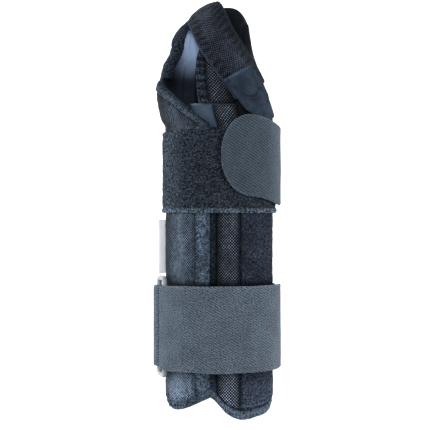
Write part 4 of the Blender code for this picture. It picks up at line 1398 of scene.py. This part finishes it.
def care_label():
    """Blank satin care label, folded into the radial seam."""
    path = smooth_path(sleeve(RADIAL_SEAM, STRAP_Y, 3.9) + LABEL_PATH, 0.35)
    path, normal = with_normals(path, np.array([0.0, 0.0, 1.0]))
    strip("care_label_satin", path, normal, *LABEL_Y, 0.5, LABEL_SATIN, "root", ["care_label"],
          "label", edge=0.2, tone=lambda along, y, near: 1.3,
          relief=lambda along, y, near: 0.12 * folds(along / 3.0, y / 6.0, 81))


def stay_metal():
    """The stay keeps its CAD shape, in rolled aluminium."""
    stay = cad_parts["palmar_stay"]
    stay.data.materials.clear()
    stay.data.materials.append(STAY_METAL)


def declare_soft():
    """Does nothing."""


# Stage -------------------------------------------------------------------------------------

FLOOR_SIZE, FLOOR_Z = 3.0, -0.0004
LIT_POINT = (0.0, 0.0, 0.03)
# Lamps: name, place, size in metres, and power in watts
LAMPS = (("left_light", (-0.75, 0.0, 0.35), 0.6, 2.5),
         ("right_light", (0.75, -0.05, 0.35), 0.6, 2.6),
         ("top_light", (-0.1, 0.35, 0.95), 0.5, 2.6))
SKY, SKY_STRENGTH = (0.93, 0.96, 1.0, 1.0), 0.32
CAMERA_PLACE = (-0.0014, -0.00444, 0.598)
CAMERA_LENS, CAMERA_SENSOR = 80.0, 36.0
CAMERA_CLIP = (0.05, 20.0)


def add_object(name, data):
    """A new object in the scene."""
    made = bpy.data.objects.new(name, data)
    bpy.context.scene.collection.objects.link(made)
    return made


def floor():
    """Plain white floor."""
    material = bpy.data.materials.new("white_floor")
    material.use_nodes = True
    settings = {"Base Color": (0.9, 0.9, 0.9, 1.0), "Roughness": 0.9,
                "Emission Color": (1.0, 1.0, 1.0, 1.0), "Emission Strength": 1.0}
    for setting, value in settings.items():
        material.node_tree.nodes["Principled BSDF"].inputs[setting].default_value = value
    mesh = bpy.data.meshes.new("floor")
    corners = [(x * FLOOR_SIZE, y * FLOOR_SIZE, FLOOR_Z)
               for x, y in ((-1, -1), (1, -1), (1, 1), (-1, 1))]
    mesh.from_pydata(corners, [], [(0, 1, 2, 3)])
    mesh.materials.append(material)
    add_object("floor", mesh)


def lamp(name, place, size, power):
    """Soft square light that faces the splint."""
    data = bpy.data.lights.new(name, "AREA")
    data.shape = "SQUARE"
    data.size = size
    data.energy = power
    made = add_object(name, data)
    made.location = place
    made.rotation_mode = "QUATERNION"
    made.rotation_quaternion = (Vector(LIT_POINT) - Vector(place)).to_track_quat("-Z", "Y")


def studio():
    """Pale world, two soft side lights and a gentle top light."""
    world = bpy.data.worlds.new("studio")
    world.use_nodes = True
    back = world.node_tree.nodes["Background"]
    back.inputs["Color"].default_value = SKY
    back.inputs["Strength"].default_value = SKY_STRENGTH
    scene = bpy.context.scene
    scene.world = world
    scene.view_settings.view_transform = "Standard"
    scene.view_settings.look = "None"
    for settings in LAMPS:
        lamp(*settings)


def camera():
    """Camera straight above the splint, as the photograph was taken."""
    data = bpy.data.cameras.new("camera")
    data.lens = CAMERA_LENS
    data.sensor_width = CAMERA_SENSOR
    data.clip_start, data.clip_end = CAMERA_CLIP
    made = add_object("camera", data)
    made.location = CAMERA_PLACE
    bpy.context.scene.camera = made


def main():
    """Dress the frame, then light it."""
    for make in (palmar_side, radial_flap, ulnar_flap, hand_part, palm_rim, sewing, forearm_strap,
                 wrist_cuff, wrist_tail, wrist_hook, web_strap, suede_tab, web_hook, stay_pocket,
                 care_label, stay_metal, declare_soft, floor, studio, camera):
        make()


main()
